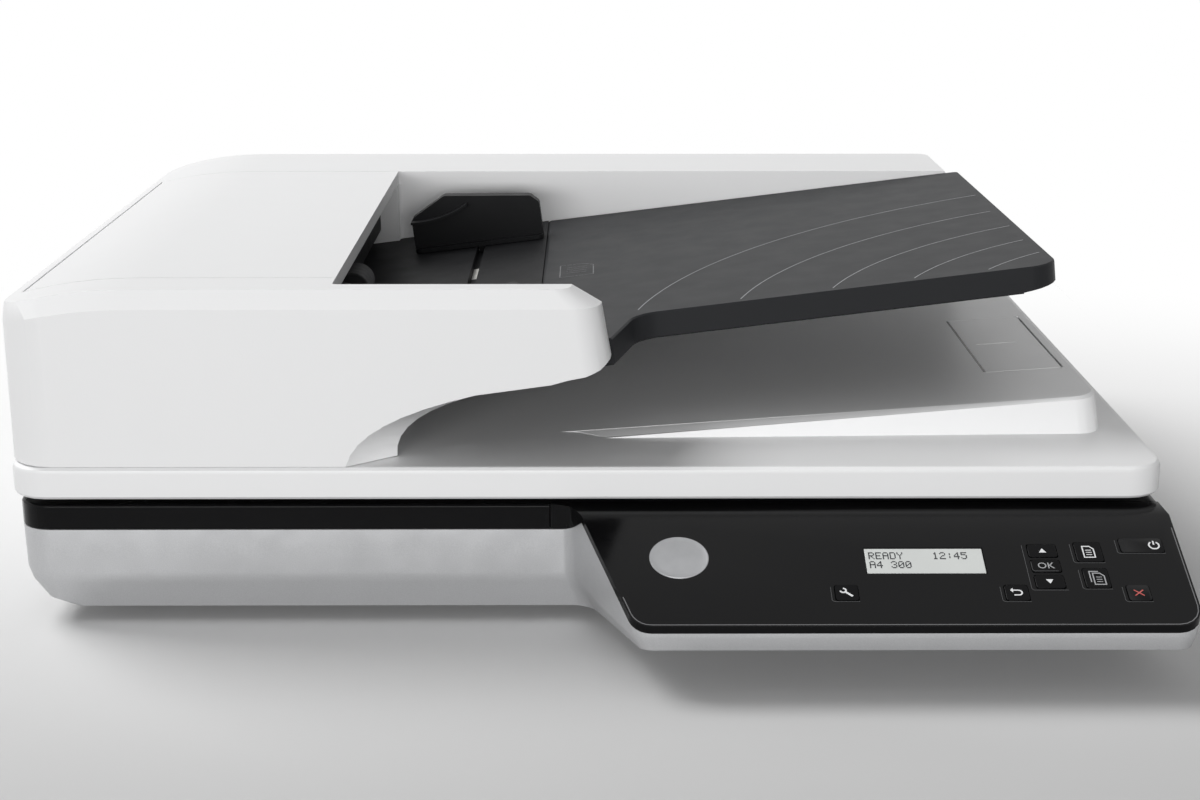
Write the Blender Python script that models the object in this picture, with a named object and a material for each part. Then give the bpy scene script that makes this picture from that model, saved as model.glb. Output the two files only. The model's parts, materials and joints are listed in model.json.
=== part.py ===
"""Flatbed scanner with a sheet feeder on its lid, as an assembly of separate pieces.

Metres, +Z up, +Y towards the back. The origin is on the desk, under the middle of the whole
object. Each moving group hangs on an empty that sits on its joint's axis.
"""

import math

import bmesh
import bpy
from mathutils import Matrix, Vector

# Fits and cuts
GAP = 0.0003
RUNNING = 0.0004
OVERRUN = 0.004
WALL = 0.0025
ARC_STEPS = 5
ROUND_SIDES = 20

# Stance: the front edge of the control ledge and the back of the hinges share the overall depth
OVERALL_DEPTH = 0.436
LEDGE_REACH = 0.071
BASE_WIDTH = 0.472
BASE_DEPTH = 0.3575
BASE_CORNER = 0.014
FOOT_HEIGHT = 0.0065
FOOT_RADIUS = 0.011
FOOT_SOLE_CUT = 0.0015
FOOT_IN_X = 0.041
FOOT_IN_FRONT = 0.035
FOOT_IN_BACK = 0.031
LEAST_ROUND = 0.0005
MERGE = 0.000001
SMALL_ARC_STEPS = 3

# Lower housing: heights over its bottom and insets of its outline, from the top edge down
HOUSING_HEIGHT = 0.0369
HOUSING_CREASE_HEIGHT = 0.0179
HOUSING_CREASE_INSET = 0.0006
HOUSING_CREASE_SIDE = 0.0004
HOUSING_TUCK_HEIGHT = 0.0125
HOUSING_TUCK_INSET = 0.0029
HOUSING_TUCK_SIDE = 0.0020
HOUSING_SKIRT_HEIGHT = 0.0038
HOUSING_SKIRT_INSET = 0.0067
HOUSING_SKIRT_SIDE = 0.0080
HOUSING_BOTTOM_INSET = 0.0083
HOUSING_BOTTOM_SIDE = 0.0180

# Bezel and glass
BEZEL_HEIGHT = 0.0106
BEZEL_PLATE = 0.0025
BEZEL_EDGE = 0.0008
GLASS_LIP = 0.0012
GLASS_THICKNESS = 0.0028
GLASS_MARGIN = 0.004
PLATEN_LENGTH = 0.310
PLATEN_WIDTH = 0.228
PLATEN_RIGHT_MARGIN = 0.085
STRIP_LENGTH = 0.018
STRIP_SPACING = 0.028
PAPER_LINE_Y = -0.0045

# Control ledge
LEDGE_SHELF = 0.0138
PANEL_SLOPE = math.radians(23.2)
PANEL_EDGE = 0.003
PANEL_SKIN = 0.0022
PANEL_SEAM_X = -0.0152
LEDGE_LEFT_X = -0.0073
LEDGE_SPLAY = 0.0254
LEDGE_FILLET = 0.010
LEDGE_ROOT = 0.004
LEDGE_ROOT_DEPTH = 0.008
LEDGE_START_X = -0.0352
PANEL_BACK = 0.0027
LEDGE_LEFT_CORNER = 0.0092
LEDGE_RIGHT_CORNER = 0.010
LEDGE_FACE = 0.0062
LEDGE_FOOT_CUT = 0.0014
LEDGE_TUCK = 0.009

# Keys and display, X of the middle, distance down the slope from the bend, width, height
KEY_CLEAR = 0.0003
KEY_STAND = 0.0003
KEY_DEPTH = 0.0042
KEY_FLANGE = 0.0010
KEY_FLANGE_DEPTH = 0.0009
KEY_CORNER = 0.0012
KEY_TRAVEL = 0.0008
KEYS = {
    "key_settings": (0.1006, 0.0445, 0.0095, 0.0090),
    "key_back": (0.1666, 0.0446, 0.0097, 0.0092),
    "key_up": (0.1805, 0.0211, 0.0120, 0.0080),
    "key_ok": (0.1805, 0.0298, 0.0120, 0.0076),
    "key_down": (0.1805, 0.0385, 0.0120, 0.0080),
    "key_document": (0.1988, 0.0219, 0.0111, 0.0118),
    "key_copies": (0.1991, 0.0366, 0.0102, 0.0117),
    "key_power": (0.2205, 0.0182, 0.0177, 0.0086),
    "key_cancel": (0.2139, 0.0448, 0.0093, 0.0091),
}
DISPLAY_X = 0.1333
DISPLAY_DOWN = 0.0264
DISPLAY_WIDTH = 0.0474
DISPLAY_HEIGHT = 0.0147
DISPLAY_WINDOW_THICKNESS = 0.0012
DISPLAY_SINK = 0.0002
BOARD_THICKNESS = 0.0016
BOARD_DROP = 0.0064
BOARD_LEFT_X = 0.086
BOARD_RIGHT_MARGIN = 0.007
BOARD_TOP_DOWN = 0.010
BOARD_BOTTOM_DOWN = 0.0525
BOSS_RADIUS = 0.0024
BOARD_BOSSES = ((0.090, 0.016), (0.090, 0.048), (0.2255, 0.0315), (0.2255, 0.0475))

# Lid
LID_GAP = 0.0034
LID_WIDTH = 0.476
LID_HEIGHT = 0.0138
LID_OVERHANG = 0.0037
LID_DEPTH = 0.3623
LID_CORNER = 0.016
LID_EDGE_LOW = 0.0012
LID_EDGE_HIGH = 0.0028
LID_LINER = 0.0022
PAD_MARGIN = 0.004

# Output platform, a wedge that rises to the right from the lid's top
PLATFORM_SLOPE = math.radians(4.04)
PLATFORM_START_X = -0.0113
PLATFORM_RIGHT_X = 0.2205
PLATFORM_FRONT_Y = -0.1022
PLATFORM_FLARE = 0.0025
PLATFORM_FLARE_LEFT = 0.0095
PLATFORM_CORNER = 0.011
PLATFORM_EDGE = 0.0012
STOP_LEFT_X = 0.181
STOP_LENGTH = 0.0335
STOP_WIDTH = 0.0966
STOP_THICKNESS = 0.0025
STOP_GROOVE_START = 0.005
STOP_GROOVE_LENGTH = 0.019
STOP_GROOVE_WIDTH = 0.0008
STOP_GROOVE_DEPTH = 0.0006
PLATFORM_LEAD = 0.020
STOP_PIN_RADIUS = 0.0011
STOP_PIN_LENGTH = 0.0025

# Feeder body
FEEDER_LEFT_X = -0.2380
FEEDER_HEIGHT = 0.0728
FEEDER_DRAFT = 0.0004
FEEDER_SIDE_CHAMFER = 0.0010
FEEDER_CHAMFER_IN = 0.0045
FEEDER_CHAMFER_DOWN = 0.0072
FEEDER_FRONT_CORNER = 0.020
FEEDER_BACK_CORNER = 0.027
ROOF_BEND_X = -0.185
ROOF_DROP = 0.0074
ROOF_STEPS = 6
ARM_THICKNESS = 0.0151
ARM_END_X = 0.0175
ARM_END_DRAFT = 0.0115
ARM_END_CHAMFER = 0.0120
ARM_END_CORNER = 0.013
ARM_TOE_X = 0.0118
ARM_TOE_HEIGHT = 0.0470
ARM_TURN_X = 0.0092
ARM_TURN_HEIGHT = 0.0384
ARM_HEEL_X = -0.0080
ARM_HEEL_HEIGHT = 0.0362
ARM_BELLY_X = -0.045
ARM_BELLY_HEIGHT = 0.0302
ARM_BEND_X = -0.0943
ARM_BEND_HEIGHT = 0.0188
ARM_FOOT_X = -0.0985
SCOOP_WIDTH = 0.0195
SCOOP_BEND = 0.0143
SCOOP_BELLY = 0.0060
SCOOP_DEEPER = 0.0026
RECESS_LEFT_X = -0.1032
THROAT_WALL = 0.0232
THROAT_LEDGE_HEIGHT = 0.0315
THROAT_LEDGE_RISE = 0.0004
BAND_DEPTH = 0.0662
BAND_END_X = 0.203
BAND_END_DRAFT = 0.0045
BAND_CORNER = 0.012
INNER_CORNER = 0.002
CAVITY_LEFT_WALL = 0.012
CHAMBER_ROOF = 0.017
CAVITY_FRONT_Y = -0.118
CAVITY_BACK_Y = 0.140
OUTPUT_SLOT_LOW = 0.0045
OUTPUT_SLOT_HIGH = 0.0215
OUTPUT_SLOT_WIDTH = 0.222

# Feeder cover
COVER_LEFT_X = -0.2318
COVER_FRONT_Y = -0.123
COVER_BACK_Y = 0.1448
COVER_SEAM = 0.0006
COVER_THICKNESS = 0.003
COVER_LIP_HEIGHT = 0.0064
COVER_LIP_THICKNESS = 0.003
COVER_PIN_RADIUS = 0.0011
COVER_PIN_LENGTH = 0.0025

# Input tray
TRAY_SLOPE = math.radians(6.95)
TRAY_AXIS_X = -0.0193
TRAY_AXIS_HEIGHT = 0.0429
TRAY_BARREL = 0.003
TRAY_LENGTH = 0.2222
TRAY_PLATE = 0.003
TRAY_RIM = 0.0115
TRAY_TIP_RIM = 0.0085
TRAY_TIP_LENGTH = 0.016
TRAY_WALL = 0.0024
TRAY_FRONT_Y = -0.0963
TRAY_SIDE_CLEAR = 0.001
TRAY_EAR_CLEAR = 0.0026
TRAY_EAR_LENGTH = 0.030
TRAY_EAR_FLARE = 0.011
TRAY_CORNER = 0.0125
TRAY_EDGE = 0.0006
TRAY_PIN_RADIUS = 0.002
TRAY_PIN_LENGTH = 0.004
EXTENSION_WIDTH = 0.150
EXTENSION_LENGTH = 0.112
EXTENSION_THICKNESS = 0.0024
EXTENSION_SLOT_CLEAR = 0.0004
RAIL_WIDTH = 0.006
RAIL_THICKNESS = 0.0022

# Fixed inner tray, side guides, racks and pinion, in the tray's own axes
INNER_PLATE = 0.003
INNER_REACH = 0.110
INNER_SIDE_CLEAR = 0.0004
INNER_GAP = 0.0006
SKIRT_DEPTH = 0.009
SKIRT_THICKNESS = 0.0024
GUIDE_SLOT_X = -0.0365
GUIDE_SLOT_WIDTH = 0.004
GUIDE_REST = 0.1025
GUIDE_WIDEST = 0.108
GUIDE_PLATE = 0.008
GUIDE_LENGTH = 0.0675
GUIDE_RIGHT = 0.0036
GUIDE_HEIGHT = 0.0280
GUIDE_NOSE_HEIGHT = 0.0178
GUIDE_NOSE_RUN = 0.0185
GUIDE_TAIL_HEIGHT = 0.0228
LOW_GUIDE_HEIGHT = 0.0165
LOW_GUIDE_NOSE_HEIGHT = 0.0100
LOW_GUIDE_NOSE_RUN = 0.0320
GUIDE_TAIL_DROP = 0.0040
GUIDE_TAIL_RUN = 0.0042
GUIDE_ROUND = 0.0030
GUIDE_FOOT_WIDTH = 0.004
FIN_DEPTH = 0.0060
FIN_THICKNESS = 0.0012
FIN_START_HEIGHT = 0.0158
FIN_MIDDLE_RUN = 0.0160
FIN_MIDDLE_HEIGHT = 0.0145
FIN_LENGTH = 0.0300
FIN_END_HEIGHT = 0.0222
GUIDE_FOOT_THICKNESS = 0.0022
GUIDE_FOOT_CORNER = 0.0036
GUIDE_HOLLOW = 0.0024
STEM_LENGTH = 0.010
RACK_WIDTH = 0.005
RACK_THICKNESS = 0.0026
GEAR_MODULE = 0.0008
PINION_TEETH = 16
GEAR_PRESSURE = math.radians(20)
GEAR_ROOT_CLEAR = 0.0002
GEAR_BACKLASH = 0.00016
FLANK_STEPS = 2
RACK_BLANK = 0.040
PINION_PIN_RADIUS = 0.002
RACK_PAST = 0.012
GUIDE_SLOT_PAST = 0.002

# Hinges at the back
HINGE_BARREL = 0.006
HINGE_PIN_RADIUS = 0.0022
HINGE_SPAN = 0.330
HINGE_KNUCKLE = 0.022
HINGE_EAR = 0.007
HINGE_BLOCK_DEPTH = 0.016
HINGE_BLOCK_DROP = 0.024
HINGE_LEAF_REACH = 0.030
HINGE_LEAF_THICKNESS = 0.0024

# Scan drive in the base
CARRIAGE_LENGTH = 0.026
CARRIAGE_WIDTH = 0.232
CARRIAGE_HEIGHT = 0.024
CARRIAGE_UNDER_GLASS = 0.0012
CARRIAGE_TRAVEL = 0.330
CARRIAGE_SADDLE_WIDTH = 0.016
LIGHT_BAR_WIDTH = 0.012
LIGHT_BAR_HEIGHT = 0.003
ROD_RADIUS = 0.003
ROD_SIDE_OFFSET = -0.020
SADDLE_DROP = 0.005
ROD_END_MARGIN = 0.010
BELT_SIDE_OFFSET = 0.014
BELT_DROP = 0.0022
BELT_WIDTH = 0.005
BELT_THICKNESS = 0.0012
PULLEY_RADIUS = 0.007
PULLEY_FLANGE = 0.0014
PULLEY_FLANGE_THICKNESS = 0.0009
PULLEY_LEFT_IN = 0.024
PULLEY_RUN_OUT = 0.012
PULLEY_PIN_RADIUS = 0.002
MOTOR_RADIUS = 0.0135
MOTOR_HEIGHT = 0.0062
MOTOR_SHAFT_RADIUS = 0.0015
CRADLE_LENGTH = 0.006
CRADLE_WIDTH = 0.014

# Main board and rear sockets
MAIN_BOARD_LENGTH = 0.130
MAIN_BOARD_DEPTH = 0.050
MAIN_BOARD_LEFT_X = 0.020
MAIN_BOARD_STAND = 0.0135
MAIN_BOARD_BACK_CLEAR = 0.004
SOCKET_HEIGHT = 0.0115
SOCKET_DEPTH = 0.0145
SOCKET_INSET = 0.0006
USB_X = 0.060
USB_WIDTH = 0.0122
USB_BORE_WIDTH = 0.0086
USB_BORE_HEIGHT = 0.0078
USB_BORE_DEPTH = 0.0095
POWER_X = 0.100
POWER_WIDTH = 0.0112
POWER_BORE_RADIUS = 0.0034
POWER_PIN_RADIUS = 0.0011
POWER_BORE_DEPTH = 0.0095

# Feeder rollers: places along X and heights over the lid's top, all across Y
SHAFT_RADIUS = 0.003
SHAFT_SEAT = 0.004
SEAT_WALL = 0.0055
TYRE_CHAMFER = 0.0005
FEED_X = -0.1375
FEED_HEIGHT = 0.0505
FEED_RADIUS = 0.0115
FEED_TYRE = 0.038
PICK_X = -0.1100
PICK_RADIUS = 0.0080
PICK_TYRE = 0.024
PICK_LIFT = 0.0006
PICK_CHEEK = 0.003
PICK_SHAFT_RADIUS = 0.002
BRIDGE_SHARE = 0.58
TURN_X = -0.2000
TURN_HEIGHT = 0.030
TURN_RADIUS = 0.0115
TURN_TYRE = 0.020
TURN_SPACING = 0.060
EXIT_X = -0.0915
EXIT_HEIGHT = 0.0098
EXIT_RADIUS = 0.0050
EXIT_TYRE = 0.016
EXIT_SPACING = 0.056
PATH_TOP = 0.0342
PATH_FLOOR = 0.0235
PATH_LEFT_X = -0.186
PATH_RIGHT_X = -0.131
SEPARATOR_LENGTH = 0.020
SEPARATOR_WIDTH = 0.034
SENSOR_LENGTH = 0.018
SENSOR_HEIGHT = 0.014
SENSOR_X = -0.166
PRESSER_LENGTH = 0.014
PRESSER_WIDTH = 0.220
PRESSER_LIFT = 0.0012
ADF_MOTOR_RADIUS = 0.018
ADF_MOTOR_LENGTH = 0.030
ADF_MOTOR_X = -0.165
ADF_MOTOR_HEIGHT = 0.030

# Places worked out from the sizes above
HALF_BASE = BASE_WIDTH / 2
LEDGE_FRONT = -OVERALL_DEPTH / 2
BASE_FRONT = LEDGE_FRONT + LEDGE_REACH
BASE_BACK = BASE_FRONT + BASE_DEPTH
BEND_Y = BASE_FRONT - LEDGE_SHELF
HOUSING_LOW = FOOT_HEIGHT + GAP
HOUSING_TOP = HOUSING_LOW + HOUSING_HEIGHT
FLOOR_TOP = HOUSING_LOW + WALL
BEZEL_LOW = HOUSING_TOP + GAP
BEZEL_TOP = BEZEL_LOW + BEZEL_HEIGHT
PANEL_FRONT_TOP = BEZEL_TOP - (BEND_Y - LEDGE_FRONT) * math.tan(PANEL_SLOPE)
LID_LOW = BEZEL_TOP + LID_GAP
LID_TOP = LID_LOW + LID_HEIGHT
LID_FRONT = BASE_FRONT - LID_OVERHANG
LID_BACK = LID_FRONT + LID_DEPTH
HALF_LID = LID_WIDTH / 2
FEEDER_LOW = LID_TOP + GAP
FEEDER_TOP = FEEDER_LOW + FEEDER_HEIGHT
ARM_BACK = LID_FRONT + ARM_THICKNESS
BAND_FRONT = LID_BACK - BAND_DEPTH
THROAT_X = RECESS_LEFT_X + THROAT_WALL
HINGE_Y = OVERALL_DEPTH / 2 - HINGE_BARREL
HINGE_Z = LID_LOW
GLASS_TOP = BEZEL_TOP - GLASS_LIP - GAP
GLASS_LOW = GLASS_TOP - GLASS_THICKNESS
PLATEN_RIGHT = HALF_BASE - PLATEN_RIGHT_MARGIN
PLATEN_LEFT = PLATEN_RIGHT - PLATEN_LENGTH
STRIP_RIGHT = PLATEN_LEFT - STRIP_SPACING
STRIP_LEFT = STRIP_RIGHT - STRIP_LENGTH
STRIP_X = (STRIP_LEFT + STRIP_RIGHT) / 2
PAPER_FRONT = PAPER_LINE_Y - PLATEN_WIDTH / 2
PAPER_BACK = PAPER_LINE_Y + PLATEN_WIDTH / 2
TRAY_AXIS_Z = FEEDER_LOW + TRAY_AXIS_HEIGHT
CARRIAGE_TOP = GLASS_LOW - CARRIAGE_UNDER_GLASS
CARRIAGE_LOW = CARRIAGE_TOP - CARRIAGE_HEIGHT
ROD_Y = PAPER_LINE_Y + ROD_SIDE_OFFSET
ROD_Z = CARRIAGE_LOW - SADDLE_DROP
BELT_Y = PAPER_LINE_Y + BELT_SIDE_OFFSET
BELT_TOP = CARRIAGE_LOW - BELT_DROP
BELT_LOW = BELT_TOP - BELT_WIDTH
PULLEY_TOP = BELT_TOP + GAP + PULLEY_FLANGE_THICKNESS
PULLEY_LOW = BELT_LOW - GAP - PULLEY_FLANGE_THICKNESS
IDLER_X = -HALF_BASE + PULLEY_LEFT_IN
MOTOR_X = STRIP_X + CARRIAGE_TRAVEL + CARRIAGE_LENGTH / 2 + PULLEY_RUN_OUT
MOTOR_TOP = FLOOR_TOP + GAP + MOTOR_HEIGHT
ROD_LEFT = -HALF_BASE + ROD_END_MARGIN
ROD_RIGHT = HALF_BASE - ROD_END_MARGIN
MAIN_BOARD_BACK = BASE_BACK - WALL - MAIN_BOARD_BACK_CLEAR
MAIN_BOARD_FRONT = MAIN_BOARD_BACK - MAIN_BOARD_DEPTH
MAIN_BOARD_LOW = FLOOR_TOP + MAIN_BOARD_STAND
SOCKET_LOW = MAIN_BOARD_LOW + BOARD_THICKNESS + GAP
FEED_Z = LID_TOP + FEED_HEIGHT
TURN_Z = LID_TOP + TURN_HEIGHT
EXIT_Z = LID_TOP + EXIT_HEIGHT
PICK_Z = (
    TRAY_AXIS_Z
    + TRAY_BARREL / math.cos(TRAY_SLOPE)
    + (PICK_X - TRAY_AXIS_X) * math.tan(TRAY_SLOPE)
    + PICK_RADIUS
    + PICK_LIFT
)
PINION_RADIUS = GEAR_MODULE * PINION_TEETH / 2
GEAR_PITCH = GEAR_MODULE * math.pi
TOOTH_HALF = (GEAR_PITCH - GEAR_BACKLASH) / 4
GEAR_ROOT = GEAR_MODULE + GEAR_ROOT_CLEAR
RACK_TOP = TRAY_BARREL - INNER_PLATE - GAP
PINION_LOW = RACK_TOP - RACK_THICKNESS
PINION_X = GUIDE_SLOT_X - PINION_RADIUS - GEAR_MODULE - RACK_WIDTH / 2
FRONT_SLOT_X = 2 * PINION_X - GUIDE_SLOT_X
THROAT_SKIRT_X = (THROAT_X - TRAY_AXIS_X) / math.cos(TRAY_SLOPE) + GUIDE_SLOT_WIDTH
COVER_AXIS_X = COVER_LEFT_X + COVER_THICKNESS / 2
COVER_AXIS_Z = FEEDER_TOP - COVER_THICKNESS / 2 - ROOF_DROP * (
    (ROOF_BEND_X - COVER_AXIS_X) / (ROOF_BEND_X - FEEDER_LEFT_X)
) ** 2


LOOKS = {
    "white_shell": ((0.86, 0.87, 0.88), 0.38, 0.0),
    "silver_shell": ((0.60, 0.61, 0.63), 0.35, 0.35),
    "gloss_black": ((0.012, 0.012, 0.014), 0.10, 0.0),
    "matt_black": ((0.022, 0.023, 0.025), 0.50, 0.0),
    "tray_grey": ((0.070, 0.073, 0.080), 0.42, 0.0),
    "glass": ((0.80, 0.86, 0.84), 0.03, 0.0),
    "display": ((0.62, 0.65, 0.62), 0.25, 0.0),
    "key_black": ((0.018, 0.018, 0.020), 0.18, 0.0),
    "rubber": ((0.035, 0.035, 0.037), 0.75, 0.0),
    "steel": ((0.62, 0.63, 0.65), 0.28, 1.0),
    "gear_white": ((0.80, 0.79, 0.75), 0.45, 0.0),
    "foam_white": ((0.88, 0.88, 0.87), 0.80, 0.0),
    "board_green": ((0.03, 0.16, 0.07), 0.45, 0.0),
}


class Frame:
    """An empty that pieces hang on. Under a level frame, pieces are drawn in the scanner's own
    axes. Under a tilted one they are drawn in the frame's axes, from its origin."""

    def __init__(self, name, at=(0, 0, 0), parent=None, turn=None):
        self.empty = bpy.data.objects.new(name, None)
        PIECES.objects.link(self.empty)
        self.shift = Vector((0, 0, 0)) if turn else Vector(at)
        start = parent.shift if parent else Vector((0, 0, 0))
        self.empty.location = Vector(at) - start
        self.empty.rotation_euler = turn or (0, 0, 0)
        self.empty.parent = parent.empty if parent else None


def clear_scene():
    for thing in list(bpy.data.objects):
        bpy.data.objects.remove(thing, do_unlink=True)


def collection(name):
    made = bpy.data.collections.new(name)
    bpy.context.scene.collection.children.link(made)
    return made


def look(name):
    """The Principled material of this name, made once."""
    if name in bpy.data.materials:
        return bpy.data.materials[name]
    colour, roughness, metallic = LOOKS[name]
    material = bpy.data.materials.new(name)
    material.use_nodes = True
    shader = material.node_tree.nodes["Principled BSDF"]
    shader.inputs["Base Color"].default_value = (*colour, 1)
    shader.inputs["Roughness"].default_value = roughness
    shader.inputs["Metallic"].default_value = metallic
    return material


def make_object(name, bm, frame, at):
    bm.normal_update()
    bmesh.ops.recalc_face_normals(bm, faces=bm.faces)
    mesh = bpy.data.meshes.new(name)
    bm.to_mesh(mesh)
    bm.free()
    made = bpy.data.objects.new(name, mesh)
    made.location = Vector(at) - frame.shift
    made.parent = frame.empty
    return made


def piece(name, bm, frame, finish, at=(0, 0, 0)):
    """A sub-part of the scanner."""
    made = make_object(name, bm, frame, at)
    made.data.shade_smooth()
    made.data.set_sharp_from_angle(angle=math.radians(32))
    made.data.materials.append(look(finish))
    PIECES.objects.link(made)
    return made


def tool(name, bm, frame, at=(0, 0, 0)):
    """A shape that only cuts or joins."""
    made = make_object(name, bm, frame, at)
    made.hide_render = True
    made.display_type = "WIRE"
    TOOLS.objects.link(made)
    return made


def apply_tool(target, shape, operation):
    modifier = target.modifiers.new(shape.name, "BOOLEAN")
    modifier.operation = operation
    modifier.solver = "EXACT"
    modifier.object = shape


def cut(target, *shapes):
    for shape in shapes:
        apply_tool(target, shape, "DIFFERENCE")


def join(target, *shapes):
    for shape in shapes:
        apply_tool(target, shape, "UNION")


def keep_inside(target, shape):
    apply_tool(target, shape, "INTERSECT")


def box(low, high):
    """A box between two opposite corners."""
    low, high = Vector(low), Vector(high)
    bm = bmesh.new()
    bmesh.ops.create_cube(bm, size=1)
    bmesh.ops.scale(bm, vec=high - low, verts=bm.verts)
    bmesh.ops.translate(bm, vec=(low + high) / 2, verts=bm.verts)
    return bm


def rod(radius, start, end, axis, sides=ROUND_SIDES, tip=None):
    """A cylinder or cone about the origin, from start to end along the axis X, Y or Z."""
    bm = bmesh.new()
    bmesh.ops.create_cone(
        bm,
        cap_ends=True,
        segments=sides,
        radius1=radius,
        radius2=radius if tip is None else tip,
        depth=end - start,
    )
    bmesh.ops.translate(bm, vec=(0, 0, (start + end) / 2), verts=bm.verts)
    turn = {
        "X": Matrix.Rotation(math.pi / 2, 3, "Y"),
        "Y": Matrix.Rotation(-math.pi / 2, 3, "X"),
        "Z": Matrix.Identity(3),
    }[axis]
    bmesh.ops.rotate(bm, matrix=turn, verts=bm.verts)
    return bm


def moved(bm, offset):
    bmesh.ops.translate(bm, vec=offset, verts=bm.verts)
    return bm


def slab(outline, low, high, plane="XY"):
    """A flat outline pulled from low to high. In plane XZ it is pulled along Y, in YZ along X."""
    bm = bmesh.new()
    face = bm.faces.new([bm.verts.new((u, v, low)) for u, v in outline])
    pulled = bmesh.ops.extrude_face_region(bm, geom=[face])["geom"]
    top = [vert for vert in pulled if isinstance(vert, bmesh.types.BMVert)]
    bmesh.ops.translate(bm, vec=(0, 0, high - low), verts=top)
    for vert in bm.verts:
        u, v, w = vert.co
        vert.co = {"XY": (u, v, w), "XZ": (u, w, v), "YZ": (w, u, v)}[plane]
    return bm


def loft(rings):
    """A closed solid through rings that all have as many points, with flat ends."""
    bm = bmesh.new()
    loops = [[bm.verts.new(point) for point in ring] for ring in rings]
    for lower, upper in zip(loops, loops[1:]):
        for here in range(len(lower)):
            after = (here + 1) % len(lower)
            bm.faces.new((lower[here], lower[after], upper[after], upper[here]))
    bm.faces.new(loops[0])
    bm.faces.new(loops[-1])
    return bm


def rounded(corners, steps=ARC_STEPS):
    """An outline through corners (x, y, radius), each rounded by an arc of the same steps."""
    outline = []
    for index, (x, y, radius) in enumerate(corners):
        corner = Vector((x, y))
        if not radius:
            outline.append((x, y))
            continue
        back = (Vector(corners[index - 1][:2]) - corner).normalized()
        ahead = (Vector(corners[(index + 1) % len(corners)][:2]) - corner).normalized()
        half = back.angle(ahead) / 2
        middle = corner + (back + ahead).normalized() * radius / math.sin(half)
        start = corner + back * radius / math.tan(half) - middle
        end = corner + ahead * radius / math.tan(half) - middle
        sweep = math.atan2(start.cross(end), start.dot(end))
        for step in range(steps + 1):
            spoke = Matrix.Rotation(sweep * step / steps, 2) @ start
            outline.append(tuple(middle + spoke))
    return outline


def oblong(left, right, front, back, radius, steps=ARC_STEPS):
    """A rounded rectangle, anticlockwise."""
    return rounded(
        [
            (left, front, radius),
            (right, front, radius),
            (right, back, radius),
            (left, back, radius),
        ],
        steps,
    )


def at_height(outline, z):
    return [(x, y, z) for x, y in outline]


def bow(start, middle, end, steps):
    """Points on the curve that leaves start towards middle and arrives at end."""
    points = []
    for step in range(steps + 1):
        t = step / steps
        ways = (start, middle, end)
        weights = ((1 - t) ** 2, 2 * t * (1 - t), t * t)
        points.append(tuple(sum(w * p[i] for w, p in zip(weights, ways)) for i in (0, 1)))
    return points


def roof(x, height=0.0):
    """Height of the feeder's roof at this X: level on the right, then falling to the left in
    straight steps that follow a curve."""
    step = (ROOF_BEND_X - FEEDER_LEFT_X) / ROOF_STEPS
    run = max(0.0, ROOF_BEND_X - x) / step
    whole = math.floor(run)
    drop = whole**2 + (2 * whole + 1) * (run - whole)
    return FEEDER_TOP + height - ROOF_DROP * drop / ROOF_STEPS**2


def roof_stations():
    """Places along X where the roof's bend has an edge."""
    step = (ROOF_BEND_X - FEEDER_LEFT_X) / ROOF_STEPS
    return [FEEDER_LEFT_X + step * count for count in range(1, ROOF_STEPS + 1)]


def roof_line(left, right, height):
    """Points along the roof from left to right, with a point at each station of its bend."""
    places = [left, *[x for x in roof_stations() if left < x < right], right]
    return [(x, roof(x, height)) for x in places]


def arc(middle, radius, start, end, steps):
    """Points on an arc between two angles, in degrees."""
    points = []
    for step in range(steps + 1):
        angle = math.radians(start + (end - start) * step / steps)
        points.append((middle[0] + radius * math.cos(angle), middle[1] + radius * math.sin(angle)))
    return points


def turned(profile, sides=ROUND_SIDES):
    """A turned piece about Y, from a profile of (radius, y) that starts and ends on the axis."""
    bm = bmesh.new()
    verts = [bm.verts.new((radius, y, 0)) for radius, y in profile]
    edges = [bm.edges.new(pair) for pair in zip(verts, verts[1:])]
    bmesh.ops.spin(
        bm,
        geom=verts + edges,
        cent=(0, 0, 0),
        axis=(0, 1, 0),
        angle=2 * math.pi,
        steps=sides,
        use_merge=True,
    )
    bmesh.ops.remove_doubles(bm, verts=bm.verts, dist=MERGE)
    return bm


def soft_top(top, radius, steps=3):
    """Levels (z, inset) of a top edge rounded by this radius."""
    return [
        (top - radius + radius * math.sin(angle), radius - radius * math.cos(angle))
        for angle in (math.pi / 2 * step / steps for step in range(steps + 1))
    ]


def stepped_block(left, right, front, back, radii, levels):
    """A loft of one rounded rectangle at each level (z, inset), or (z, inset at the sides, inset
    at the front and back). Corners run anticlockwise from the front left."""
    rings = []
    for z, side, *ends in levels:
        end = ends[0] if ends else side
        places = (
            (left + side, front + end),
            (right - side, front + end),
            (right - side, back - end),
            (left + side, back - end),
        )
        corners = [(x, y, max(radius - end, LEAST_ROUND)) for (x, y), radius in zip(places, radii)]
        rings.append(at_height(rounded(corners), z))
    return loft(rings)


def base_block(levels):
    """A loft in the base's outline, which has a nearly square corner beside the ledge."""
    radii = (BASE_CORNER, LEAST_ROUND, BASE_CORNER, BASE_CORNER)
    return stepped_block(-HALF_BASE, HALF_BASE, BASE_FRONT, BASE_BACK, radii, levels)


def lid_block(levels):
    return stepped_block(-HALF_LID, HALF_LID, LID_FRONT, LID_BACK, (LID_CORNER,) * 4, levels)


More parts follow.
